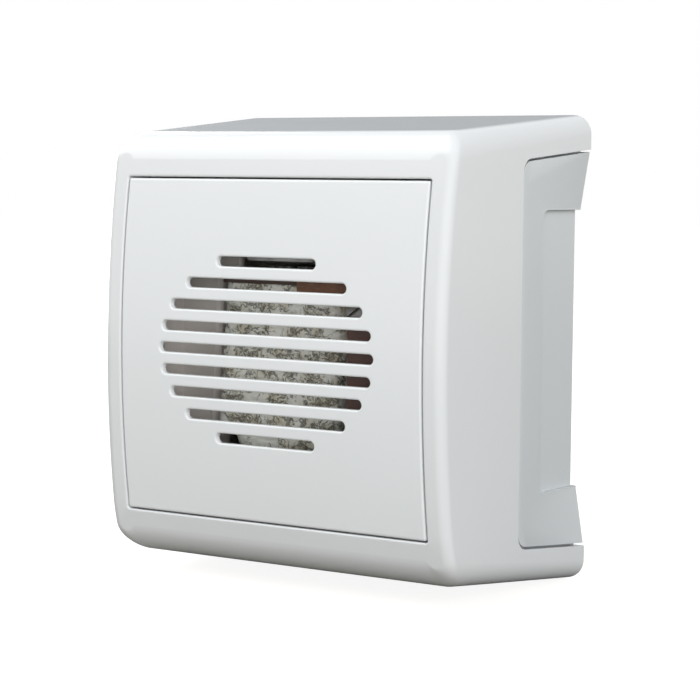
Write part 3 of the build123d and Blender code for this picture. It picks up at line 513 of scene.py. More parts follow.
def new_material(name):
    """Makes a material and returns its nodes, its main shader and the object's coordinates."""
    made = bpy.data.materials.new(name)
    made.use_nodes = True
    tree = made.node_tree
    tree.nodes.clear()
    shader = put(tree, "ShaderNodeBsdfPrincipled")
    put(tree, "ShaderNodeOutputMaterial", {"Surface": shader.outputs[0]})
    return tree, shader, put(tree, "ShaderNodeTexCoord").outputs["Object"]


def bump(tree, shader, height, distance):
    """Raises a shader's surface by height times distance."""
    node = put(tree, "ShaderNodeBump", {"Height": height, "Distance": distance})
    tree.links.new(node.outputs[0], shader.inputs["Normal"])


def plastic(name, colour, tint, tint_amount, rough, spread=0.08, flow=0.6, relief=0.00003):
    """Moulded plastic or rubber, stained by its tint."""
    tree, shader, vector = new_material(name)
    outs = use_group(
        tree,
        "moulded_plastic",
        {
            "Vector": vector,
            "Colour": colour,
            "Tint": tint,
            "Tint Amount": tint_amount,
            "Roughness": rough,
            "Roughness Spread": spread,
            "Flow Height": flow,
        },
    )
    tree.links.new(outs["Colour"], shader.inputs["Base Color"])
    tree.links.new(outs["Roughness"], shader.inputs["Roughness"])
    bump(tree, shader, outs["Height"], relief)


def metal(name, colour, tarnish, rough, amount=0.35, stretch=(1, 1, 10), wear=None, metallic=1.0):
    """Plated, drawn or turned metal; wear is the colour of its rubbed edges."""
    tree, shader, vector = new_material(name)
    outs = use_group(
        tree,
        "worked_metal",
        {
            "Vector": vector,
            "Colour": colour,
            "Tarnish": tarnish,
            "Tarnish Amount": amount,
            "Roughness": rough,
            "Mark Stretch": stretch,
        },
    )
    surface = outs["Colour"]
    if wear:
        mask = use_group(tree, "edge_wear", {"Vector": vector})["Mask"]
        surface = blend_colours(tree, mask, surface, wear)
    tree.links.new(surface, shader.inputs["Base Color"])
    tree.links.new(outs["Roughness"], shader.inputs["Roughness"])
    shader.inputs["Metallic"].default_value = metallic
    bump(tree, shader, outs["Height"], 0.00001)


def tape_material(colour):
    """Varnished cotton tape: fine weave, painted shade in crease lines of two sizes, and stains."""
    stain = (0.64, 0.59, 0.44, 1)
    # Near-black colour painted into the cracks and folds as their shade
    crease = (0.07, 0.06, 0.04, 1)
    bend = 0.0042
    tree, shader, vector = new_material("tape_creased")
    warp = put(
        tree,
        "ShaderNodeTexNoise",
        {"Vector": vector, "Scale": 420.0, "Detail": 4.0},
    ).outputs["Color"]
    offset = put(
        tree,
        "ShaderNodeVectorMath",
        {0: warp, 1: (bend, bend, bend)},
        operation="MULTIPLY",
    ).outputs[0]
    bent = put(tree, "ShaderNodeVectorMath", {0: vector, 1: offset}, operation="ADD").outputs[0]
    patches = noise_field(tree, vector, 260.0, 4.0)
    cracks = put(
        tree,
        "ShaderNodeTexVoronoi",
        {"Vector": bent, "Scale": 420.0},
        feature="DISTANCE_TO_EDGE",
    ).outputs["Distance"]
    cracked = ramp(tree, cracks, (0.0, 1.0), (0.10, 0.0))
    lines = maths(tree, "MULTIPLY", cracked, ramp(tree, patches, (0.46, 0.0), (0.56, 0.9)))
    # Painted shade of short folds: thin bands where a stretched noise crosses its middle
    for scale, stretch, width, least in (
        (170.0, (1.0, 1.0, 2.4), 0.034, 0.36),
        (270.0, (1.9, 1.0, 0.9), 0.030, 0.40),
    ):
        field = noise_field(tree, stretched(tree, bent, stretch), scale, 3.0)
        away = maths(tree, "ABSOLUTE", maths(tree, "SUBTRACT", field, 0.5))
        fold = ramp(tree, away, (0.0, 1.0), (width, 0.0))
        where = ramp(tree, patches, (least, 0.0), (least + 0.08, 1.0))
        lines = maths(tree, "MAXIMUM", lines, maths(tree, "MULTIPLY", fold, where))
    threads = wave_field(tree, vector, 900.0, 1.5, "Z")
    soiled = ramp(tree, patches, (0.42, 0.0), (0.66, 0.75))
    stained = blend_colours(tree, soiled, colour, stain)
    # Painted shade: the crack and fold lines take the near-black crease colour
    lined = blend_colours(tree, maths(tree, "MULTIPLY", lines, 0.92), stained, crease)
    tree.links.new(lined, shader.inputs["Base Color"])
    shader.inputs["Roughness"].default_value = 0.5
    height = maths(tree, "MULTIPLY_ADD", threads, 0.1, maths(tree, "MULTIPLY", lines, -1.0))
    bump(tree, shader, height, 0.00012)


def board_material(colour):
    """Phenolic board: mottled brown with paper fibres, a dull resin skin, and painted shade on its
    lower part.
    """
    mottle = (0.25, 0.12, 0.06, 1)
    fibre = (0.36, 0.2, 0.1, 1)
    # Dark brown painted as shade on the board's lower part
    low_shade = (0.11, 0.065, 0.06, 1)
    shade_full_below, shade_gone_above = 0.004, 0.0105
    tree, shader, vector = new_material("board_laminate")
    cloud = noise_field(tree, vector, 300.0, 6.0)
    fibres = noise_field(tree, stretched(tree, vector, (1.0, 1.0, 9.0)), 500.0, 4.0)
    mottled = blend_colours(tree, ramp(tree, cloud, (0.35, 0.0), (0.7, 0.7)), colour, mottle)
    fibred = blend_colours(tree, ramp(tree, fibres, (0.55, 0.0), (0.75, 0.5)), mottled, fibre)
    # Painted shade: the lower part is darkened as if lying in shade
    low = put(
        tree,
        "ShaderNodeMapRange",
        {
            "Value": put(tree, "ShaderNodeSeparateXYZ", {"Vector": vector}).outputs["Z"],
            "From Min": shade_full_below,
            "From Max": shade_gone_above,
            "To Min": 1.0,
            "To Max": 0.0,
        },
    ).outputs[0]
    darkened = blend_colours(tree, maths(tree, "MULTIPLY", low, 0.75), fibred, low_shade)
    tree.links.new(darkened, shader.inputs["Base Color"])
    tree.links.new(maths(tree, "MULTIPLY_ADD", fibres, 0.25, 0.3), shader.inputs["Roughness"])
    bump(tree, shader, fibres, 0.00002)


def core_material():
    """Edges of stacked sheets: dark, oily, with rust between them."""
    oily = (0.16, 0.155, 0.15, 1)
    bare = (0.34, 0.34, 0.345, 1)
    rust = (0.16, 0.07, 0.035, 1)
    tree, shader, vector = new_material("core_sheets")
    rows = wave_field(tree, vector, 160.0, 0.4, "X")
    cloud = noise_field(tree, vector, 420.0, 5.0)
    sheets = blend_colours(tree, rows, oily, bare)
    rusted = blend_colours(tree, ramp(tree, cloud, (0.55, 0.0), (0.75, 0.8)), sheets, rust)
    tree.links.new(rusted, shader.inputs["Base Color"])
    tree.links.new(ramp(tree, cloud, (0.4, 1.0), (0.7, 0.3)), shader.inputs["Metallic"])
    tree.links.new(maths(tree, "MULTIPLY_ADD", cloud, 0.4, 0.25), shader.inputs["Roughness"])
    bump(tree, shader, rows, 0.00003)


def winding_material():
    """Enamelled wire laid in rows."""
    tree, shader, vector = new_material("winding_rows")
    rows = wave_field(tree, vector, 620.0, 0.6, "Z")
    enamel = blend_colours(tree, rows, (0.10, 0.025, 0.008, 1), (0.42, 0.13, 0.045, 1))
    tree.links.new(enamel, shader.inputs["Base Color"])
    tree.links.new(maths(tree, "MULTIPLY_ADD", rows, -0.1, 0.4), shader.inputs["Roughness"])
    shader.inputs["Metallic"].default_value = 0.4
    bump(tree, shader, rows, 0.00008)


def card_material():
    """Pressed board: pale brown with flecks."""
    tree, shader, vector = new_material("card_pressed")
    flecks = noise_field(tree, vector, 1400.0, 5.0)
    flecked = ramp(tree, flecks, (0.45, 0.0), (0.65, 1.0))
    pulp = blend_colours(tree, flecked, (0.34, 0.24, 0.13, 1), (0.22, 0.14, 0.07, 1))
    tree.links.new(pulp, shader.inputs["Base Color"])
    shader.inputs["Roughness"].default_value = 0.8
    bump(tree, shader, flecks, 0.00003)


def rounded_loop(half_x, half_z, radius, corner=8, side_x=12, side_z=36):
    """(x, z, normal x, normal z) round a rounded rectangle, as many points for any size."""
    straight_x = half_x - radius
    straight_z = half_z - radius
    points = []
    runs = [
        ((half_x, -straight_z), (half_x, straight_z), (1, 0), side_z),
        ((straight_x, half_z), (-straight_x, half_z), (0, 1), side_x),
        ((-half_x, straight_z), (-half_x, -straight_z), (-1, 0), side_z),
        ((-straight_x, -half_z), (straight_x, -half_z), (0, -1), side_x),
    ]
    centres = [
        (straight_x, straight_z),
        (-straight_x, straight_z),
        (-straight_x, -straight_z),
        (straight_x, -straight_z),
    ]
    for quarter, ((x0, z0), (x1, z1), normal, count) in enumerate(runs):
        for step in range(count):
            t = step / count
            points.append((x0 + (x1 - x0) * t, z0 + (z1 - z0) * t, *normal))
        centre_x, centre_z = centres[quarter]
        for step in range(corner):
            angle = math.pi / 2 * (quarter + step / corner)
            nx, nz = math.cos(angle), math.sin(angle)
            points.append((centre_x + radius * nx, centre_z + radius * nz, nx, nz))
    return points


class CaseShape:
    """The flared, bulged form that the cover frame and the plate share."""

    def __init__(self, sizes):
        self.sizes = sizes

    def half_x(self, y):
        """Half the width at a depth; the sides curve in over the front half."""
        s = self.sizes
        curve = max(0.0, -2 * y / s.depth - 1.0)
        straight = (s.rear_width + (s.rear_width - s.front_width) * y / s.depth) / 2
        return straight - s.side_curve * curve * curve

    def half_z(self, y):
        """Half the height at a depth."""
        s = self.sizes
        return (s.rear_height + (s.rear_height - s.front_height) * y / s.depth) / 2

    def front(self, z):
        """Depth of the bulged face at a height; below the plate it leans back further."""
        s = self.sizes
        radius = s.bulge_radius
        below = max(0.0, -z - s.plate_height / 2 - s.plate_gap)
        return -s.depth + radius - math.sqrt(radius * radius - z * z) + below * math.tan(s.chin)

    def ring(self, inset, depth_of, edge=None):
        """One ring of the case's outline, drawn in by inset, at the depth that depth_of gives.

        With edge, an angle, the ring runs along the rounding between the side and the front.
        """
        s = self.sizes
        base = depth_of(0.0)
        base_x, base_z = self.half_x(base), self.half_z(base)
        corner = s.rear_corner_radius + (s.rear_corner_radius - s.corner_radius) * base / s.depth
        corner -= inset
        points = []
        for x, z, nx, nz in rounded_loop(base_x - inset, base_z - inset, corner):
            drop = 0.0
            if edge is not None:
                radius = s.side_edge + (s.top_edge - s.side_edge) * nz * nz
                x -= nx * radius * (1 - math.cos(edge))
                z -= nz * radius * (1 - math.cos(edge))
                drop = radius * (1 - math.sin(edge))
            y = base
            for _ in range(3):
                y = depth_of(z * self.half_z(y) / base_z) + drop
            points.append(Vector((x * self.half_x(y) / base_x, y, z * self.half_z(y) / base_z)))
        return points


def skin(shape, rings, close=False):
    """Joins each ring of points to the next with quads."""
    loops = [[shape.verts.new(point) for point in ring] for ring in rings]
    if close:
        loops.append(loops[0])
    for lower, upper in zip(loops, loops[1:]):
        count = len(lower)
        for i in range(count):
            j = (i + 1) % count
            shape.faces.new((lower[i], lower[j], upper[j], upper[i]))


def object_of(name, shape, material=None):
    """Turns a bmesh into an object in the scene, with the material of that name."""
    data = bpy.data.meshes.new(name)
    shape.to_mesh(data)
    shape.free()
    if material:
        data.materials.clear()
        data.materials.append(finish_named(material))
    piece = bpy.data.objects.new(name, data)
    bpy.context.scene.collection.objects.link(piece)
    return piece


def add_part(shape, part):
    """Adds one bmesh to another."""
    loose = bpy.data.meshes.new("loose")
    part.to_mesh(loose)
    part.free()
    shape.from_mesh(loose)
    bpy.data.meshes.remove(loose)


def finish_piece(name, shape, material, node, sharp=35.0):
    """Turns a bmesh into a shaded object that stands for a CAD node and rides on its body."""
    piece = object_of(name, shape, material)
    rough = piece.data
    rough.shade_smooth()
    rough.set_sharp_from_angle(angle=math.radians(sharp))
    # Large flat faces keep their own normals beside the softened edges
    weigh = piece.modifiers.new("flat_faces", "WEIGHTED_NORMAL")
    weigh.keep_sharp = True
    weigh.weight = FLAT_FACE_WEIGHT
    piece.data = evaluated_copy(piece)
    piece.modifiers.clear()
    bpy.data.meshes.remove(rough)
    piece.data.name = name
    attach(piece, body_of_node(node))
    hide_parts(node)


def evaluated_copy(piece):
    """The mesh of a piece with its modifiers carried out."""
    bpy.context.view_layer.update()
    evaluated = piece.evaluated_get(bpy.context.evaluated_depsgraph_get())
    return bpy.data.meshes.new_from_object(evaluated)


def drop_object(piece):
    """Deletes an object and its mesh."""
    data = piece.data
    bpy.data.objects.remove(piece)
    bpy.data.meshes.remove(data)


def prism(outline, low, high, across="X"):
    """A closed prism: outline is (a, b) points, pushed from low to high along an axis."""
    shape = bmesh.new()
    place = {
        "X": lambda a, b, c: Vector((c, a, b)),
        "Y": lambda a, b, c: Vector((a, c, b)),
        "Z": lambda a, b, c: Vector((a, b, c)),
    }[across]
    first = [shape.verts.new(place(a, b, low)) for a, b in outline]
    last = [shape.verts.new(place(a, b, high)) for a, b in outline]
    shape.faces.new(first)
    shape.faces.new(list(reversed(last)))
    for i in range(len(first)):
        j = (i + 1) % len(first)
        shape.faces.new((first[i], last[i], last[j], first[j]))
    bmesh.ops.recalc_face_normals(shape, faces=shape.faces)
    return shape


def rounded_corner(points, which, radius, steps=8):
    """Replaces one corner of an outline with an arc."""
    before = Vector(points[which - 1])
    corner = Vector(points[which])
    after = Vector(points[(which + 1) % len(points)])
    to_before = (before - corner).normalized()
    to_after = (after - corner).normalized()
    half = to_before.angle(to_after) / 2
    reach = radius / math.tan(half)
    centre = corner + (to_before + to_after).normalized() * radius / math.sin(half)
    start = corner + to_before * reach - centre
    end = corner + to_after * reach - centre
    turn = start.angle_signed(end)
    arc = []
    for step in range(steps + 1):
        spin = Matrix.Rotation(-turn * step / steps, 2)
        arc.append(tuple(centre + spin @ start))
    return points[:which] + arc + points[which + 1:]


def soften_edges(shape, edges, offset, segments):
    """Rounds edges by an offset, or by what the shape leaves room for."""
    bmesh.ops.bevel(
        shape,
        geom=edges,
        offset=offset,
        offset_type="OFFSET",
        segments=segments,
        profile=0.5,
        clamp_overlap=True,
        affect="EDGES",
    )


def dressed_copy(node, edge=0.12 * MM, sharp=40.0, softer=None):
    """A merged copy of a CAD node whose sharp edges are softened."""
    shape = bmesh.new()
    shape.from_mesh(NODES[node].data)
    bmesh.ops.remove_doubles(shape, verts=shape.verts, dist=CAD_MERGE)
    bmesh.ops.dissolve_limit(
        shape,
        angle_limit=math.radians(0.6),
        verts=shape.verts,
        edges=shape.edges,
        delimit={"NORMAL"},
    )
    passes = [(edge, 2, lambda co: True)] if edge else []
    if softer:
        passes.insert(0, (SOFT_PAD_EDGE, 3, softer))
    for offset, segments, chosen in passes:
        crisp = [
            e
            for e in shape.edges
            if len(e.link_faces) == 2
            and e.calc_face_angle(0.0) > math.radians(sharp)
            and all(chosen(v.co) for v in e.verts)
        ]
        soften_edges(shape, crisp, offset, segments)
    # A clamped pass leaves collapsed faces, which go when their corners are merged
    bmesh.ops.remove_doubles(shape, verts=shape.verts, dist=COLLAPSED_MERGE)
    return shape


def body_of_node(node):
    """The body that a CAD node belongs to."""
    return NODES[node]["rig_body"]


def dress(node, material, edge=0.12 * MM, sharp=40.0):
    """Replaces a CAD node with its softened copy."""
    finish_piece(node + "_dressed", dressed_copy(node, edge, sharp), material, node)


def paint(node, material):
    """Gives a CAD node its finish and leaves its shape."""
    data = NODES[node].data
    finish = finish_named(material)
    for index in range(len(data.materials)):
        data.materials[index] = finish
    if not data.materials:
        data.materials.append(finish)


class BUZZER_OT_finishes(bpy.types.Operator):
    """Makes the materials"""

    bl_idname = "buzzer.make_finishes"
    bl_label = "Finishes"

    def execute(self, context):
        colours = context.scene.buzzer_colours
        moulded_group()
        metal_group()
        wear_group()
        smooth = {"spread": 0.04, "flow": 0.15}
        for name, colour, tint, amount, rough, finer in (
            ("case", colours.case, (0.66, 0.655, 0.63, 1), 0.06, 0.2, smooth),
            ("plate", colours.plate, (0.70, 0.69, 0.665, 1), 0.06, 0.24, smooth),
            ("box", colours.box, (0.56, 0.57, 0.56, 1), 0.2, 0.36, {}),
            ("tray", colours.tray, (0.34, 0.30, 0.27, 1), 0.5, 0.5, {"relief": 0.00006}),
            ("bobbin", (0.055, 0.028, 0.018, 1), (0.09, 0.05, 0.03, 1), 0.6, 0.38, {}),
        ):
            plastic(name + "_plastic", colour[:], tint, amount, rough, **finer)
        plastic("lead_sleeve", (0.52, 0.46, 0.31, 1), (0.3, 0.25, 0.16, 1), 0.6, 0.45)
        plastic("rubber_black", (0.022, 0.022, 0.022, 1), (0.05, 0.048, 0.045, 1), 0.8, 0.7)
        metal(
            "zinc_bright",
            colours.zinc[:],
            (0.35, 0.34, 0.30, 1),
            0.24,
            wear=(0.72, 0.72, 0.72, 1),
        )
        metal(
            "screw_aged",
            (0.30, 0.29, 0.28, 1),
            (0.13, 0.10, 0.075, 1),
            0.42,
            amount=0.7,
            wear=(0.42, 0.41, 0.40, 1),
            metallic=0.85,
        )
        metal(
            "strip_steel",
            colours.strip[:],
            (0.30, 0.28, 0.25, 1),
            0.42,
            amount=0.5,
            wear=(0.74, 0.74, 0.74, 1),
            metallic=0.6,
        )
        metal("spring_wire", (0.42, 0.42, 0.43, 1), (0.2, 0.19, 0.18, 1), 0.28)
        metal(
            "copper_bare",
            (0.62, 0.30, 0.18, 1),
            (0.22, 0.10, 0.06, 1),
            0.35,
            wear=(0.72, 0.42, 0.3, 1),
        )
        metal(
            "brass_turned",
            colours.brass[:],
            (0.28, 0.18, 0.07, 1),
            0.28,
            stretch=(8, 8, 1),
            wear=(0.8, 0.66, 0.36, 1),
        )
        tape_material(colours.tape[:])
        board_material(colours.board[:])
        core_material()
        winding_material()
        card_material()
        return {"FINISHED"}


def finish_named(name):
    """The material of that name."""
    return bpy.data.materials[name]


def cover_rings(s, case):
    """Rings of the cover frame: from the rear rim over the front, through the opening and back."""
    rim_soft = 0.3 * MM
    lip = 0.4 * MM
    inner_round = 0.9 * MM
    collar = 1.2 * MM
    face = 2.2 * MM
    open_x = s.plate_width / 2 + s.plate_gap
    open_z = s.plate_height / 2 + s.plate_gap
    open_r = 0.5 * MM
    collar_back = -s.depth + 7.2 * MM
    collar_soft = 0.1 * MM
    edge_steps = 12
    front = case.front

    def flat(y):
        return lambda z: y

    def opening(offset, depth_of):
        loop = rounded_loop(open_x + offset, open_z + offset, open_r + offset)
        return [Vector((x, depth_of(z), z)) for x, z, _, _ in loop]

    rings = []
    for step in range(4):
        angle = math.pi / 2 * step / 3
        rim = flat(-rim_soft * (1 - math.cos(angle)))
        rings.append(case.ring(rim_soft * (1 - math.sin(angle)), rim))
    for depth in (12, 24.6, 30, 35, 40):
        rings.append(case.ring(0.0, flat(-depth * MM)))
    for step in range(edge_steps + 1):
        rings.append(case.ring(0.0, front, edge=math.pi / 2 * step / edge_steps))
    outer_front = rings[-1]
    inner_front = opening(lip, front)
    for share in (0.04, 0.35, 0.65, 0.94, 1.0):
        between = [a.lerp(b, share) for a, b in zip(outer_front, inner_front)]
        rings.append([Vector((point.x, front(point.z), point.z)) for point in between])
    for step in range(1, 5):
        angle = math.pi / 2 * step / 4
        sunk = lip * (1 - math.cos(angle))
        rings.append(opening(lip * (1 - math.sin(angle)), lambda z: front(z) + sunk))
    rings.append(opening(0.0, flat(collar_back + collar_soft)))
    rings.append(opening(collar_soft, flat(collar_back)))
    rings.append(opening(collar, flat(collar_back)))
    rings.append(opening(collar, lambda z: front(z) + face))
    for step in range(5):
        angle = math.pi / 2 * (1 - step / 4)
        inset = s.wall + inner_round * (1 - math.cos(angle))
        drop = inner_round * (1 - math.sin(angle))
        rings.append(case.ring(inset, lambda z: front(z) + face + drop))
    rings.append(case.ring(s.wall, flat(-30 * MM)))
    rings.append(case.ring(s.wall, flat(0.0)))
    return rings


def cut_sides(s, shell):
    """The shell's mesh with the cut-outs through both side walls."""
    slope = (s.rear_height - s.front_height) / 2 / s.depth
    past = 1.0 * MM
    through = 60 * MM
    outline = [
        (-CUTOUT_REACH, -(CUTOUT_HALF - slope * CUTOUT_REACH)),
        (past, -(CUTOUT_HALF + slope * past)),
        (past, CUTOUT_HALF + slope * past),
        (-CUTOUT_REACH, CUTOUT_HALF - slope * CUTOUT_REACH),
    ]
    for corner in (3, 0):
        outline = rounded_corner(outline, corner, CUTOUT_CORNER)
    cutter = object_of("notch_cutter", prism(outline, -through, through))
    cut = shell.modifiers.new("notches", "BOOLEAN")
    cut.operation = "DIFFERENCE"
    cut.solver = "EXACT"
    cut.object = cutter
    opened = evaluated_copy(shell)
    drop_object(shell)
    drop_object(cutter)
    return opened


class BUZZER_OT_cover_frame(bpy.types.Operator):
    """Builds the flared cover frame with its bulged front, plate opening and side cut-outs"""

    bl_idname = "buzzer.make_cover_frame"
    bl_label = "Cover frame"

    def execute(self, context):
        s = context.scene.buzzer_sizes
        case = CaseShape(s)
        shape = bmesh.new()
        skin(shape, cover_rings(s, case), close=True)
        opened = cut_sides(s, object_of("frame_shell", shape))
        shape = bmesh.new()
        shape.from_mesh(opened)
        bpy.data.meshes.remove(opened)
        bmesh.ops.remove_doubles(shape, verts=shape.verts, dist=CUT_MERGE)

        near = 0.05 * MM
        wall_end = 0.4 * MM

        def on_cutout_rim(vert):
            x, y, z = vert.co
            inside = -CUTOUT_REACH - near < y < -wall_end and abs(z) < CUTOUT_HALF + near
            return inside and abs(abs(x) - case.half_x(y)) < near

        rims = [
            e
            for e in shape.edges
            if all(on_cutout_rim(v) for v in e.verts)
            and e.calc_face_angle(0.0) > math.radians(60)
        ]
        soften_edges(shape, rims, CUTOUT_ROUNDING, 6)

        # Detent ribs inside the top and bottom walls
        rib_y, foot, crest = -7 * MM, 0.6 * MM, 0.2 * MM
        root, height, half_length = 0.3 * MM, 0.6 * MM, 4 * MM
        for side in (-1, 1):
            for x in (-18 * MM, 18 * MM):
                z = side * (case.half_z(rib_y) - s.wall)
                rib = [
                    (rib_y - foot, z + side * root),
                    (rib_y - crest, z - side * height),
                    (rib_y + crest, z - side * height),
                    (rib_y + foot, z + side * root),
                ]
                add_part(shape, prism(rib, x - half_length, x + half_length))
        finish_piece("cover_frame_moulded", shape, "case_plastic", "cover_frame", sharp=30.0)
        return {"FINISHED"}


def slot_rows(s):
    """(height, half length) of each slot, from the lowest."""
    rows = []
    for row in range(s.slot_count):
        z = (row - (s.slot_count - 1) / 2) * s.slot_pitch
        rows.append((z, s.grille_width / 2 * math.sqrt(1 - (2 * z / s.grille_height) ** 2)))
    return rows


def slot_ring(s, z, half_length, radius):
    """Points round one slot, as the rim tree places them."""
    points = []
    run = half_length - s.slot_height / 2
    for i in range(RIM_POINTS):
        angle = 2 * math.pi * (i + 0.5) / RIM_POINTS
        x = math.cos(angle)
        centre = s.grille_shift + math.copysign(run, x)
        points.append((centre + radius * x, z + radius * math.sin(angle)))
    return points


def slot_rim_tree():
    """Geometry Nodes: one rounded rim for each sound slot, whose lengths follow an ellipse."""
    tree = bpy.data.node_groups.new("slot_rims", "GeometryNodeTree")
    face = tree.interface
    face.new_socket("Slots", in_out="INPUT", socket_type="NodeSocketInt")
    for label in (
        "Pitch",
        "Slot Height",
        "Lip",
        "Support",
        "Grille Width",
        "Grille Height",
        "Shift",
        "Thickness",
        "Depth",
        "Bulge Radius",
    ):
        face.new_socket(label, in_out="INPUT", socket_type="NodeSocketFloat")
    face.new_socket("Finish", in_out="INPUT", socket_type="NodeSocketMaterial")
    face.new_socket("Geometry", in_out="OUTPUT", socket_type="NodeSocketGeometry")
    given = tree.nodes.new("NodeGroupInput").outputs
    wanted = tree.nodes.new("NodeGroupOutput").inputs

    def calc(operation, *terms):
        return maths(tree, operation, *terms)

    def less(first, second):
        return calc("SUBTRACT", first, second)

    def held(value):
        """Keeps a value between 0 and 1."""
        return put(tree, "ShaderNodeClamp", {"Value": value}).outputs[0]

    # Unit tubes far apart: one for each slot, with a row of faces for each step of the rim
    spacing = 10.0
    segments = RIM_ROUND_STEPS + 2
    tube = put(
        tree,
        "GeometryNodeMeshCylinder",
        {
            "Vertices": RIM_POINTS,
            "Side Segments": segments,
            "Radius": 1.0,
            "Depth": float(segments),
        },
        fill_type="NONE",
    )
    spots = put(
        tree,
        "GeometryNodeMeshLine",
        {"Count": given["Slots"], "Offset": (0.0, spacing, 0.0)},
    )
    turned = put(tree, "FunctionNodeInputVector", vector=(0.0, 0.0, math.pi / RIM_POINTS))
    placed = put(
        tree,
        "GeometryNodeInstanceOnPoints",
        {"Points": spots.outputs[0], "Instance": tube.outputs[0], "Rotation": turned.outputs[0]},
    )
    real = put(tree, "GeometryNodeRealizeInstances", {"Geometry": placed.outputs[0]})
    position = put(tree, "GeometryNodeInputPosition").outputs[0]
    spot = put(tree, "ShaderNodeSeparateXYZ", {"Vector": position})
    row = calc("ROUND", calc("DIVIDE", spot.outputs["Y"], spacing))
    across = spot.outputs["X"]
    up = less(spot.outputs["Y"], calc("MULTIPLY", row, spacing))
    level = calc("ROUND", calc("ADD", spot.outputs["Z"], segments / 2))
    # The rim's section: a support row, a quarter round, then the slot's wall
    share = held(calc("DIVIDE", less(level, 1.0), float(RIM_ROUND_STEPS)))
    angle = calc("MULTIPLY", share, math.pi / 2)
    before = held(less(1.0, level))
    after = held(less(level, float(RIM_ROUND_STEPS + 1)))
    half_slot = calc("DIVIDE", given["Slot Height"], 2.0)
    radius = calc("MULTIPLY_ADD", given["Lip"], less(1.0, calc("SINE", angle)), half_slot)
    radius = calc("MULTIPLY_ADD", given["Support"], before, radius)
    drop = calc("MULTIPLY", given["Lip"], less(1.0, calc("COSINE", angle)))
    drop = calc("MULTIPLY_ADD", less(given["Thickness"], given["Lip"]), after, drop)
    middle = calc("DIVIDE", less(given["Slots"], 1.0), 2.0)
    centre = calc("MULTIPLY", less(row, middle), given["Pitch"])
    ratio = calc("DIVIDE", calc("MULTIPLY", centre, 2.0), given["Grille Height"])
    squash = calc("SQRT", less(1.0, calc("MULTIPLY", ratio, ratio)))
    half_grille = calc("DIVIDE", given["Grille Width"], 2.0)
    run = less(calc("MULTIPLY", half_grille, squash), half_slot)
    end = calc("MULTIPLY_ADD", radius, across, given["Shift"])
    x = calc("MULTIPLY_ADD", calc("SIGN", across), run, end)
    z = calc("MULTIPLY_ADD", radius, up, centre)
    bulge = given["Bulge Radius"]
    arc = calc("SQRT", less(calc("MULTIPLY", bulge, bulge), calc("MULTIPLY", z, z)))
    y = calc("ADD", less(less(bulge, arc), given["Depth"]), drop)
    target = put(tree, "ShaderNodeCombineXYZ", {"X": x, "Y": y, "Z": z})
    moved = put(
        tree,
        "GeometryNodeSetPosition",
        {"Geometry": real.outputs[0], "Position": target.outputs[0]},
    )
    coated = put(
        tree,
        "GeometryNodeSetMaterial",
        {"Geometry": moved.outputs[0], "Material": given["Finish"]},
    )
    tree.links.new(coated.outputs[0], wanted["Geometry"])
    return tree


def run_tree(tree, values, name):
    """Runs a Geometry Nodes tree on an empty mesh and returns the plain mesh."""
    holder = bpy.data.objects.new(name, bpy.data.meshes.new(name))
    bpy.context.scene.collection.objects.link(holder)
    modifier = holder.modifiers.new(name, "NODES")
    modifier.node_group = tree
    for item in tree.interface.items_tree:
        if item.item_type == "SOCKET" and item.in_out == "INPUT" and item.name in values:
            modifier[item.identifier] = values[item.name]
    made = evaluated_copy(holder)
    holder.modifiers.clear()
    drop_object(holder)
    if not made.polygons:
        raise RuntimeError(name + " made no faces")
    return made


def slot_rims(s):
    """The plain mesh of all slot rims."""
    return run_tree(
        slot_rim_tree(),
        {
            "Slots": s.slot_count,
            "Pitch": s.slot_pitch,
            "Slot Height": s.slot_height,
            "Lip": s.slot_lip,
            "Support": RIM_SUPPORT,
            "Grille Width": s.grille_width,
            "Grille Height": s.grille_height,
            "Shift": s.grille_shift,
            "Thickness": s.plate_thickness,
            "Depth": s.depth,
            "Bulge Radius": s.bulge_radius,
            "Finish": finish_named("plate_plastic"),
        },
        "slot_rims",
    )


def pierced_face(shape, s, boundary, radius, depth_of, outward):
    """Fills a boundary ring with a face that leaves out the slots and follows the bulge."""
    rows = slot_rows(s)
    border = 2.5 * MM
    apart = 0.45 * MM
    touching = 1e-7
    across, down = 22, 42
    flat = [(point.x, point.z) for point in boundary]
    edges = [(i, (i + 1) % len(flat)) for i in range(len(flat))]
    for z, half_length in rows:
        start = len(flat)
        hole = slot_ring(s, z, half_length, radius)
        flat += hole
        edges += [(start + i, start + (i + 1) % len(hole)) for i in range(len(hole))]

    def clear_of_slots(x, z, margin):
        for height, half_length in rows:
            run = half_length - s.slot_height / 2
            reach = math.hypot(max(abs(x - s.grille_shift) - run, 0.0), z - height)
            if reach < radius + margin:
                return False
        return True

    limit_x = s.plate_width / 2 - border
    limit_z = s.plate_height / 2 - border
    for i in range(across + 1):
        for j in range(down + 1):
            x = limit_x * (2 * i / across - 1)
            z = limit_z * (2 * j / down - 1)
            if clear_of_slots(x, z, apart):
                flat.append((x, z))
    found, _, triangles, *_ = delaunay_2d_cdt([Vector(p) for p in flat], edges, [], 0, 1e-8)
    corners = [shape.verts.new((p.x, depth_of(p.y), p.y)) for p in found]
    for triangle in triangles:
        middle = sum((found[i] for i in triangle), Vector((0.0, 0.0))) / 3
        if clear_of_slots(middle.x, middle.y, -touching):
            order = triangle if outward else reversed(triangle)
            shape.faces.new([corners[i] for i in order])


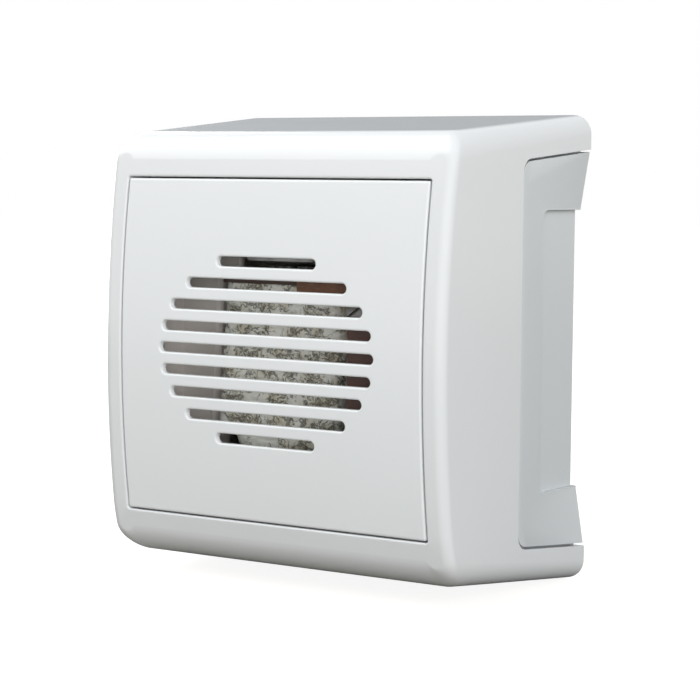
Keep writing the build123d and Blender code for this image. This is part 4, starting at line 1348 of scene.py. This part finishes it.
class BUZZER_OT_front_plate(bpy.types.Operator):
    """Builds the bulged front plate with its rounded sound slots, skirt and legs"""

    bl_idname = "buzzer.make_front_plate"
    bl_label = "Front plate"

    def execute(self, context):
        s = context.scene.buzzer_sizes
        front = CaseShape(s).front
        soft = 0.4 * MM
        skirt_soft = 0.1 * MM
        wall = 1.4 * MM
        corner = 0.45 * MM
        inner_corner = 0.5 * MM
        skirt_back = -s.depth + 6.6 * MM

        def ring(inset, depth_of, radius):
            loop = rounded_loop(s.plate_width / 2 - inset, s.plate_height / 2 - inset, radius)
            return [Vector((x, depth_of(z), z)) for x, z, _, _ in loop]

        def inner_face(z):
            return front(z) + s.plate_thickness

        rings = [ring(soft + RIM_SUPPORT, front, 0.05 * MM)]
        for step in range(5):
            angle = math.pi / 2 * (1 - step / 4)
            inset = soft * (1 - math.cos(angle))
            sunk = soft * (1 - math.sin(angle))
            rings.append(ring(inset, lambda z: front(z) + sunk, corner - inset))
        rings.append(ring(0.0, lambda z: skirt_back - skirt_soft, corner))
        rings.append(ring(skirt_soft, lambda z: skirt_back, corner - skirt_soft))
        rings.append(ring(wall, lambda z: skirt_back, inner_corner))
        rings.append(ring(wall, inner_face, inner_corner))
        shape = bmesh.new()
        skin(shape, [list(reversed(one)) for one in rings])
        half_slot = s.slot_height / 2
        mouth = half_slot + s.slot_lip + RIM_SUPPORT
        pierced_face(shape, s, rings[0], mouth, front, True)
        pierced_face(shape, s, rings[-1], half_slot, inner_face, False)

        rims = slot_rims(s)
        shape.from_mesh(rims)
        bpy.data.meshes.remove(rims)
        bmesh.ops.remove_doubles(shape, verts=shape.verts, dist=RIM_MERGE)
        open_edges = [e for e in shape.edges if len(e.link_faces) != 2]
        if open_edges:
            raise RuntimeError(str(len(open_edges)) + " open edges on the front plate")

        # Four legs that hold the plate in the tray's flange
        leg_half = 4.0 * MM
        leg_half_thick = 0.5 * MM
        chamfer = 1.5 * MM
        leg_front = skirt_back - 1.5 * MM
        leg_back = PLATE_HIGH.y
        for side in (-1, 1):
            for x in (-20 * MM, 20 * MM):
                z = side * (s.plate_height / 2 - 0.6 * MM)
                leg = [
                    (x - leg_half, leg_front),
                    (x + leg_half, leg_front),
                    (x + leg_half, leg_back - chamfer),
                    (x + leg_half - chamfer, leg_back),
                    (x - leg_half + chamfer, leg_back),
                    (x - leg_half, leg_back - chamfer),
                ]
                part = prism(leg, z - leg_half_thick, z + leg_half_thick, across="Z")
                add_part(shape, part)
        finish_piece("front_plate_moulded", shape, "plate_plastic", "front_plate", sharp=30.0)
        return {"FINISHED"}


def on_side_pad(co):
    """Whether a point of the back box is on the raised pads of its sides."""
    return abs(co.x) > 37 * MM and abs(co.z) < 37.4 * MM


class BUZZER_OT_box_and_tray(bpy.types.Operator):
    """Dresses the back box, the grommet and the tray"""

    bl_idname = "buzzer.make_box_and_tray"
    bl_label = "Box and tray"

    def execute(self, context):
        box = dressed_copy("back_box", 0.15 * MM, softer=on_side_pad)
        finish_piece("back_box_dressed", box, "box_plastic", "back_box")
        tray = dressed_copy("chassis")
        # Narrow deck beside the coil, with a folded edge, seen through the slots' left ends
        top, under, fold_end = -38.2 * MM, -37.2 * MM, -33.5 * MM
        left, fold_in, fold_out = -27.6 * MM, -20.4 * MM, -19.6 * MM
        deck = [
            (left, top),
            (-20.6 * MM, top),
            (-19.9 * MM, -37.9 * MM),
            (fold_out, under),
            (fold_out, fold_end),
            (fold_in, fold_end),
            (fold_in, under),
            (left, under),
        ]
        deck_half, lean, upright_at = 27.0 * MM, 0.045, 13 * MM
        part = prism(deck, -deck_half, deck_half, across="Z")
        for corner in part.verts:
            # The deck's edge leans like the tape beside it
            if corner.co.x > -21 * MM:
                corner.co.x += 1.45 * MM + lean * (corner.co.z - upright_at)
        add_part(tray, part)
        # A tongue at its upper end reaches over to the coil
        tongue_top, tongue_under, tip = -38.7 * MM, -37.5 * MM, -13.3 * MM
        tongue = [
            (fold_in, tongue_top),
            (-13.7 * MM, tongue_top),
            (tip, -38.3 * MM),
            (tip, tongue_under),
            (fold_in, tongue_under),
        ]
        add_part(tray, prism(tongue, 15.4 * MM, 26.0 * MM, across="Z"))
        finish_piece("chassis_dressed", tray, "tray_plastic", "chassis")
        dress("cable_grommet", "rubber_black", edge=0.15 * MM)
        dress("damping_washers", "rubber_black", edge=0.1 * MM)
        return {"FINISHED"}


class BUZZER_OT_coil_tape(bpy.types.Operator):
    """Wraps the coil in creased tape with overlapping turns"""

    bl_idname = "buzzer.make_coil_tape"
    bl_label = "Coil tape"

    def execute(self, context):
        s = context.scene.buzzer_sizes
        low, high = TAPE_LOW, TAPE_HIGH.copy()
        high.z -= FLANGE_DROP
        centre_y = (low.y + high.y) / 2
        half_y = (high.y - low.y) / 2
        corner, thick = 3.4 * MM, 0.5 * MM
        left_out, right_in = 0.5 * MM, 0.4 * MM
        rows, inner_rows = 150, 10
        turn_height = 9.5 * MM
        deep = s.crease_depth

        def wrap(z, inset):
            """Middle of the wrap and the points round it, which lean to the left lower down."""
            fade = min(1.0, (z - low.z) / (4 * MM))
            lean = s.tape_lean * (high.z - z) * fade
            drawn_in = min(4.5 * MM, max(0.0, 2.0 * (-14.3 * MM - z)))
            left = low.x - left_out - lean + drawn_in
            right = high.x - right_in - lean
            half_x = (right - left) / 2
            loop = rounded_loop(
                half_x - inset,
                half_y - inset,
                corner - inset,
                corner=14,
                side_x=60,
                side_z=36,
            )
            return (left + right) / 2, loop

        rings = []
        for row in range(rows + 1):
            z = low.z + (high.z - low.z) * row / rows
            middle, loop = wrap(z, 0.0)
            ring = []
            for i, (x, y, nx, ny) in enumerate(loop):
                # Wrinkles run slantwise; each turn of the tape steps over the one before
                slant = Vector((x * 420 + z * 160, y * 420, z * 900))
                crease = abs(noise.noise(slant)) * 1.4
                crumple = noise.noise(Vector((x, y, z)) * 1300) * 0.35
                turn = (z - low.z) / turn_height + i / len(loop)
                step = 1 - (turn - math.floor(turn))
                fall = max(0.0, deep * min(1.0, 0.25 + crease + crumple - 0.3 * step))
                # The wrinkles fade at both ends
                edge = min(1.0, min(row, rows - row) / 4)
                fall = fall * edge + deep * 0.3 * (1 - edge)
                ring.append(Vector((middle + x - nx * fall, centre_y + y - ny * fall, z)))
            rings.append(ring)
        for row in range(inner_rows + 1):
            z = high.z + (low.z - high.z) * row / inner_rows
            middle, loop = wrap(z, thick)
            rings.append([Vector((middle + x, centre_y + y, z)) for x, y, _, _ in loop])
        shape = bmesh.new()
        skin(shape, rings, close=True)
        bmesh.ops.recalc_face_normals(shape, faces=shape.faces)
        finish_piece("coil_tape_wrapped", shape, "tape_creased", "coil_tape", sharp=60.0)
        return {"FINISHED"}


class BUZZER_OT_magnet(bpy.types.Operator):
    """Dresses the yoke, core, bobbin, armature and stop arm"""

    bl_idname = "buzzer.make_magnet"
    bl_label = "Magnet"

    def execute(self, context):
        for node in ("yoke", "armature", "stop_arm"):
            dress(node, "strip_steel", edge=0.1 * MM)
        bobbin = dressed_copy("bobbin")
        winding = dressed_copy("winding", edge=0.0)
        # The upper flange is thicker, and the winding stays below it and inside the leaning tape
        for corner in [*bobbin.verts, *winding.verts]:
            if abs(corner.co.z - TAPE_HIGH.z) < 0.2 * MM:
                corner.co.z -= FLANGE_DROP
        for corner in winding.verts:
            corner.co.x *= 0.8
        finish_piece("bobbin_dressed", bobbin, "bobbin_plastic", "bobbin")
        finish_piece("winding_dressed", winding, "winding_rows", "winding")
        dress("shading_ring", "copper_bare", edge=0.08 * MM)
        paint("core_stack", "core_sheets")
        paint("insulation_sheet", "card_pressed")
        paint("return_spring", "spring_wire")
        return {"FINISHED"}


class BUZZER_OT_terminals(bpy.types.Operator):
    """Dresses the terminal board, its brass blocks and the coil's leads"""

    bl_idname = "buzzer.make_terminals"
    bl_label = "Terminals"

    def execute(self, context):
        dress("terminal_board", "board_laminate", edge=0.1 * MM)
        for node in ("terminal_block_inner", "terminal_block_outer", "lock_nut", "adjusting_screw"):
            dress(node, "brass_turned", edge=0.08 * MM)
        for node in ("coil_lead_inner", "coil_lead_outer"):
            dress(node, "lead_sleeve", edge=0.0)
        return {"FINISHED"}


class BUZZER_OT_screws(bpy.types.Operator):
    """Dresses the plated screws and the hinge pin"""

    bl_idname = "buzzer.make_screws"
    bl_label = "Screws"

    def execute(self, context):
        bright = ("module_screws", "core_screw", "yoke_screws", "arm_screws", "hinge_pin")
        darkened = ("board_screws", "terminal_screw_inner", "terminal_screw_outer")
        for finish, nodes in (("zinc_bright", bright), ("screw_aged", darkened)):
            for node in nodes:
                dress(node, finish, edge=0.06 * MM, sharp=50.0)
        return {"FINISHED"}


def area_light(name, spot, target, size, power):
    """A rectangular lamp at a spot, turned to its target."""
    data = bpy.data.lights.new(name, "AREA")
    data.shape = "RECTANGLE"
    data.size, data.size_y = size
    data.energy = power
    lamp = bpy.data.objects.new(name, data)
    bpy.context.scene.collection.objects.link(lamp)
    lamp.location = spot
    lamp.rotation_euler = (Vector(target) - Vector(spot)).to_track_quat("-Z", "Y").to_euler()
    return lamp


def seen_directly(tree):
    """1 for camera, glossy and transmission rays, which see the background itself."""
    path = put(tree, "ShaderNodeLightPath").outputs
    sharp = maths(tree, "MAXIMUM", path["Is Glossy Ray"], path["Is Transmission Ray"])
    return maths(tree, "MAXIMUM", path["Is Camera Ray"], sharp)


def stage_sheet(name, centre, across, along, material):
    """A flat rectangle, from its centre and two half sides."""
    ends = ((-1, -1), (1, -1), (1, 1), (-1, 1))
    shape = bmesh.new()
    corners = [centre + across * a + along * b for a, b in ends]
    shape.faces.new([shape.verts.new(corner) for corner in corners])
    return object_of(name, shape, material)


def matt_material(name, colour):
    """A matt material of one colour for the stage."""
    tree, shader, _ = new_material(name)
    shader.inputs["Base Color"].default_value = colour
    shader.inputs["Roughness"].default_value = 0.9
    return tree, shader


class BUZZER_OT_stage(bpy.types.Operator):
    """Sets up the floor, the lamps, the world and the camera"""

    bl_idname = "buzzer.make_stage"
    bl_label = "Stage"

    def execute(self, context):
        scene = context.scene
        scene.view_settings.view_transform = "Standard"

        # Pale floor that turns white for the camera but keeps the shadow
        tree, shader = matt_material("floor_pale", (0.24, 0.22, 0.185, 1))
        glow = put(tree, "ShaderNodeEmission", {"Color": (1, 1, 1, 1), "Strength": 0.9})
        both = put(tree, "ShaderNodeAddShader", {0: shader.outputs[0], 1: glow.outputs[0]})
        chosen = put(
            tree,
            "ShaderNodeMixShader",
            {0: seen_directly(tree), 1: shader.outputs[0], 2: both.outputs[0]},
        )
        output = next(n for n in tree.nodes if n.type == "OUTPUT_MATERIAL")
        tree.links.new(chosen.outputs[0], output.inputs["Surface"])
        low = CASE_LOW.z - 0.2 * MM
        floor_half = 3.0
        floor = stage_sheet(
            "floor",
            Vector((0.0, 0.0, low)),
            Vector((floor_half, 0.0, 0.0)),
            Vector((0.0, floor_half, 0.0)),
            "floor_pale",
        )

        # Grey cards, which only reflections see: behind for the top, below for the underside
        matt_material("card_grey", (0.08, 0.095, 0.11, 1))
        for name, centre, across, along in (
            ("card_behind", (-0.62, 0.86, 0.30), (0.446, 0.321, 0.0), (0.0, 0.0, 0.27)),
            ("card_below", (0.0, 0.1, low + 0.1 * MM), (0.7, 0.0, 0.0), (0.0, 0.7, 0.0)),
        ):
            card = stage_sheet(
                name, Vector(centre), Vector(across), Vector(along), "card_grey"
            )
            card.visible_camera = False
            card.visible_diffuse = False
            card.visible_shadow = False

        world = bpy.data.worlds.new("studio")
        scene.world = world
        world.use_nodes = True
        sky = world.node_tree
        sky.nodes.clear()
        pale_blue = (0.94, 0.965, 1.0, 1)
        ambient = put(sky, "ShaderNodeBackground", {"Color": pale_blue, "Strength": 0.25})
        white = put(sky, "ShaderNodeBackground", {"Color": (1, 1, 1, 1), "Strength": 1.0})
        either = put(
            sky,
            "ShaderNodeMixShader",
            {0: seen_directly(sky), 1: ambient.outputs[0], 2: white.outputs[0]},
        )
        put(sky, "ShaderNodeOutputWorld", {"Surface": either.outputs[0]})

        middle = (0, -0.03, 0)
        area_light("overhead", (-0.661, -0.397, 0.919), middle, (1.4, 1.4), 13.2)
        front = area_light("front", (0.965, -0.85, 0.38), middle, (1.4, 0.9), 18.4)
        front.visible_glossy = False
        area_light("rim", (-0.85, 0.45, 0.15), (0, -0.04, 0), (0.6, 0.9), 10.0)
        edge = area_light("edge", (0.1, 1.0, 0.15), middle, (0.55, 0.8), 0.9)
        edge.visible_diffuse = False

        data = bpy.data.cameras.new("camera")
        data.sensor_width = CAMERA_SENSOR
        data.lens = CAMERA_LENS
        data.clip_start = 0.01
        camera = bpy.data.objects.new("camera", data)
        scene.collection.objects.link(camera)
        back = CAMERA_RIGHT.cross(CAMERA_UP)
        turn = Matrix((CAMERA_RIGHT, CAMERA_UP, back)).transposed().to_4x4()
        camera.matrix_world = Matrix.Translation(CAMERA_SPOT) @ turn
        scene.camera = camera
        return {"FINISHED"}


STEPS = (
    "make_finishes",
    "make_stage",
    "make_cover_frame",
    "make_front_plate",
    "make_box_and_tray",
    "make_coil_tape",
    "make_magnet",
    "make_terminals",
    "make_screws",
)


class BUZZER_PT_panel(bpy.types.Panel):
    """Lists the buzzer's steps, sizes and colours"""

    bl_idname = "BUZZER_PT_panel"
    bl_label = "Doorbell buzzer"
    bl_space_type = "VIEW_3D"
    bl_region_type = "UI"
    bl_category = "Buzzer"

    def draw(self, context):
        for step in STEPS:
            self.layout.operator("buzzer." + step)
        for group in (context.scene.buzzer_sizes, context.scene.buzzer_colours):
            for name in group.__annotations__:
                self.layout.prop(group, name)


CLASSES = (
    BuzzerSizes,
    BuzzerColours,
    BUZZER_OT_finishes,
    BUZZER_OT_stage,
    BUZZER_OT_cover_frame,
    BUZZER_OT_front_plate,
    BUZZER_OT_box_and_tray,
    BUZZER_OT_coil_tape,
    BUZZER_OT_magnet,
    BUZZER_OT_terminals,
    BUZZER_OT_screws,
    BUZZER_PT_panel,
)


def register():
    """Registers the classes and gives the scene its sizes and colours."""
    for one in CLASSES:
        bpy.utils.register_class(one)
    bpy.types.Scene.buzzer_sizes = PointerProperty(type=BuzzerSizes)
    bpy.types.Scene.buzzer_colours = PointerProperty(type=BuzzerColours)


def unregister():
    """Takes back what register did."""
    del bpy.types.Scene.buzzer_colours
    del bpy.types.Scene.buzzer_sizes
    for one in reversed(CLASSES):
        bpy.utils.unregister_class(one)


def main():
    """Runs every step."""
    register()
    for step in STEPS:
        getattr(bpy.ops.buzzer, step)()


if __name__ == "__main__":
    main()
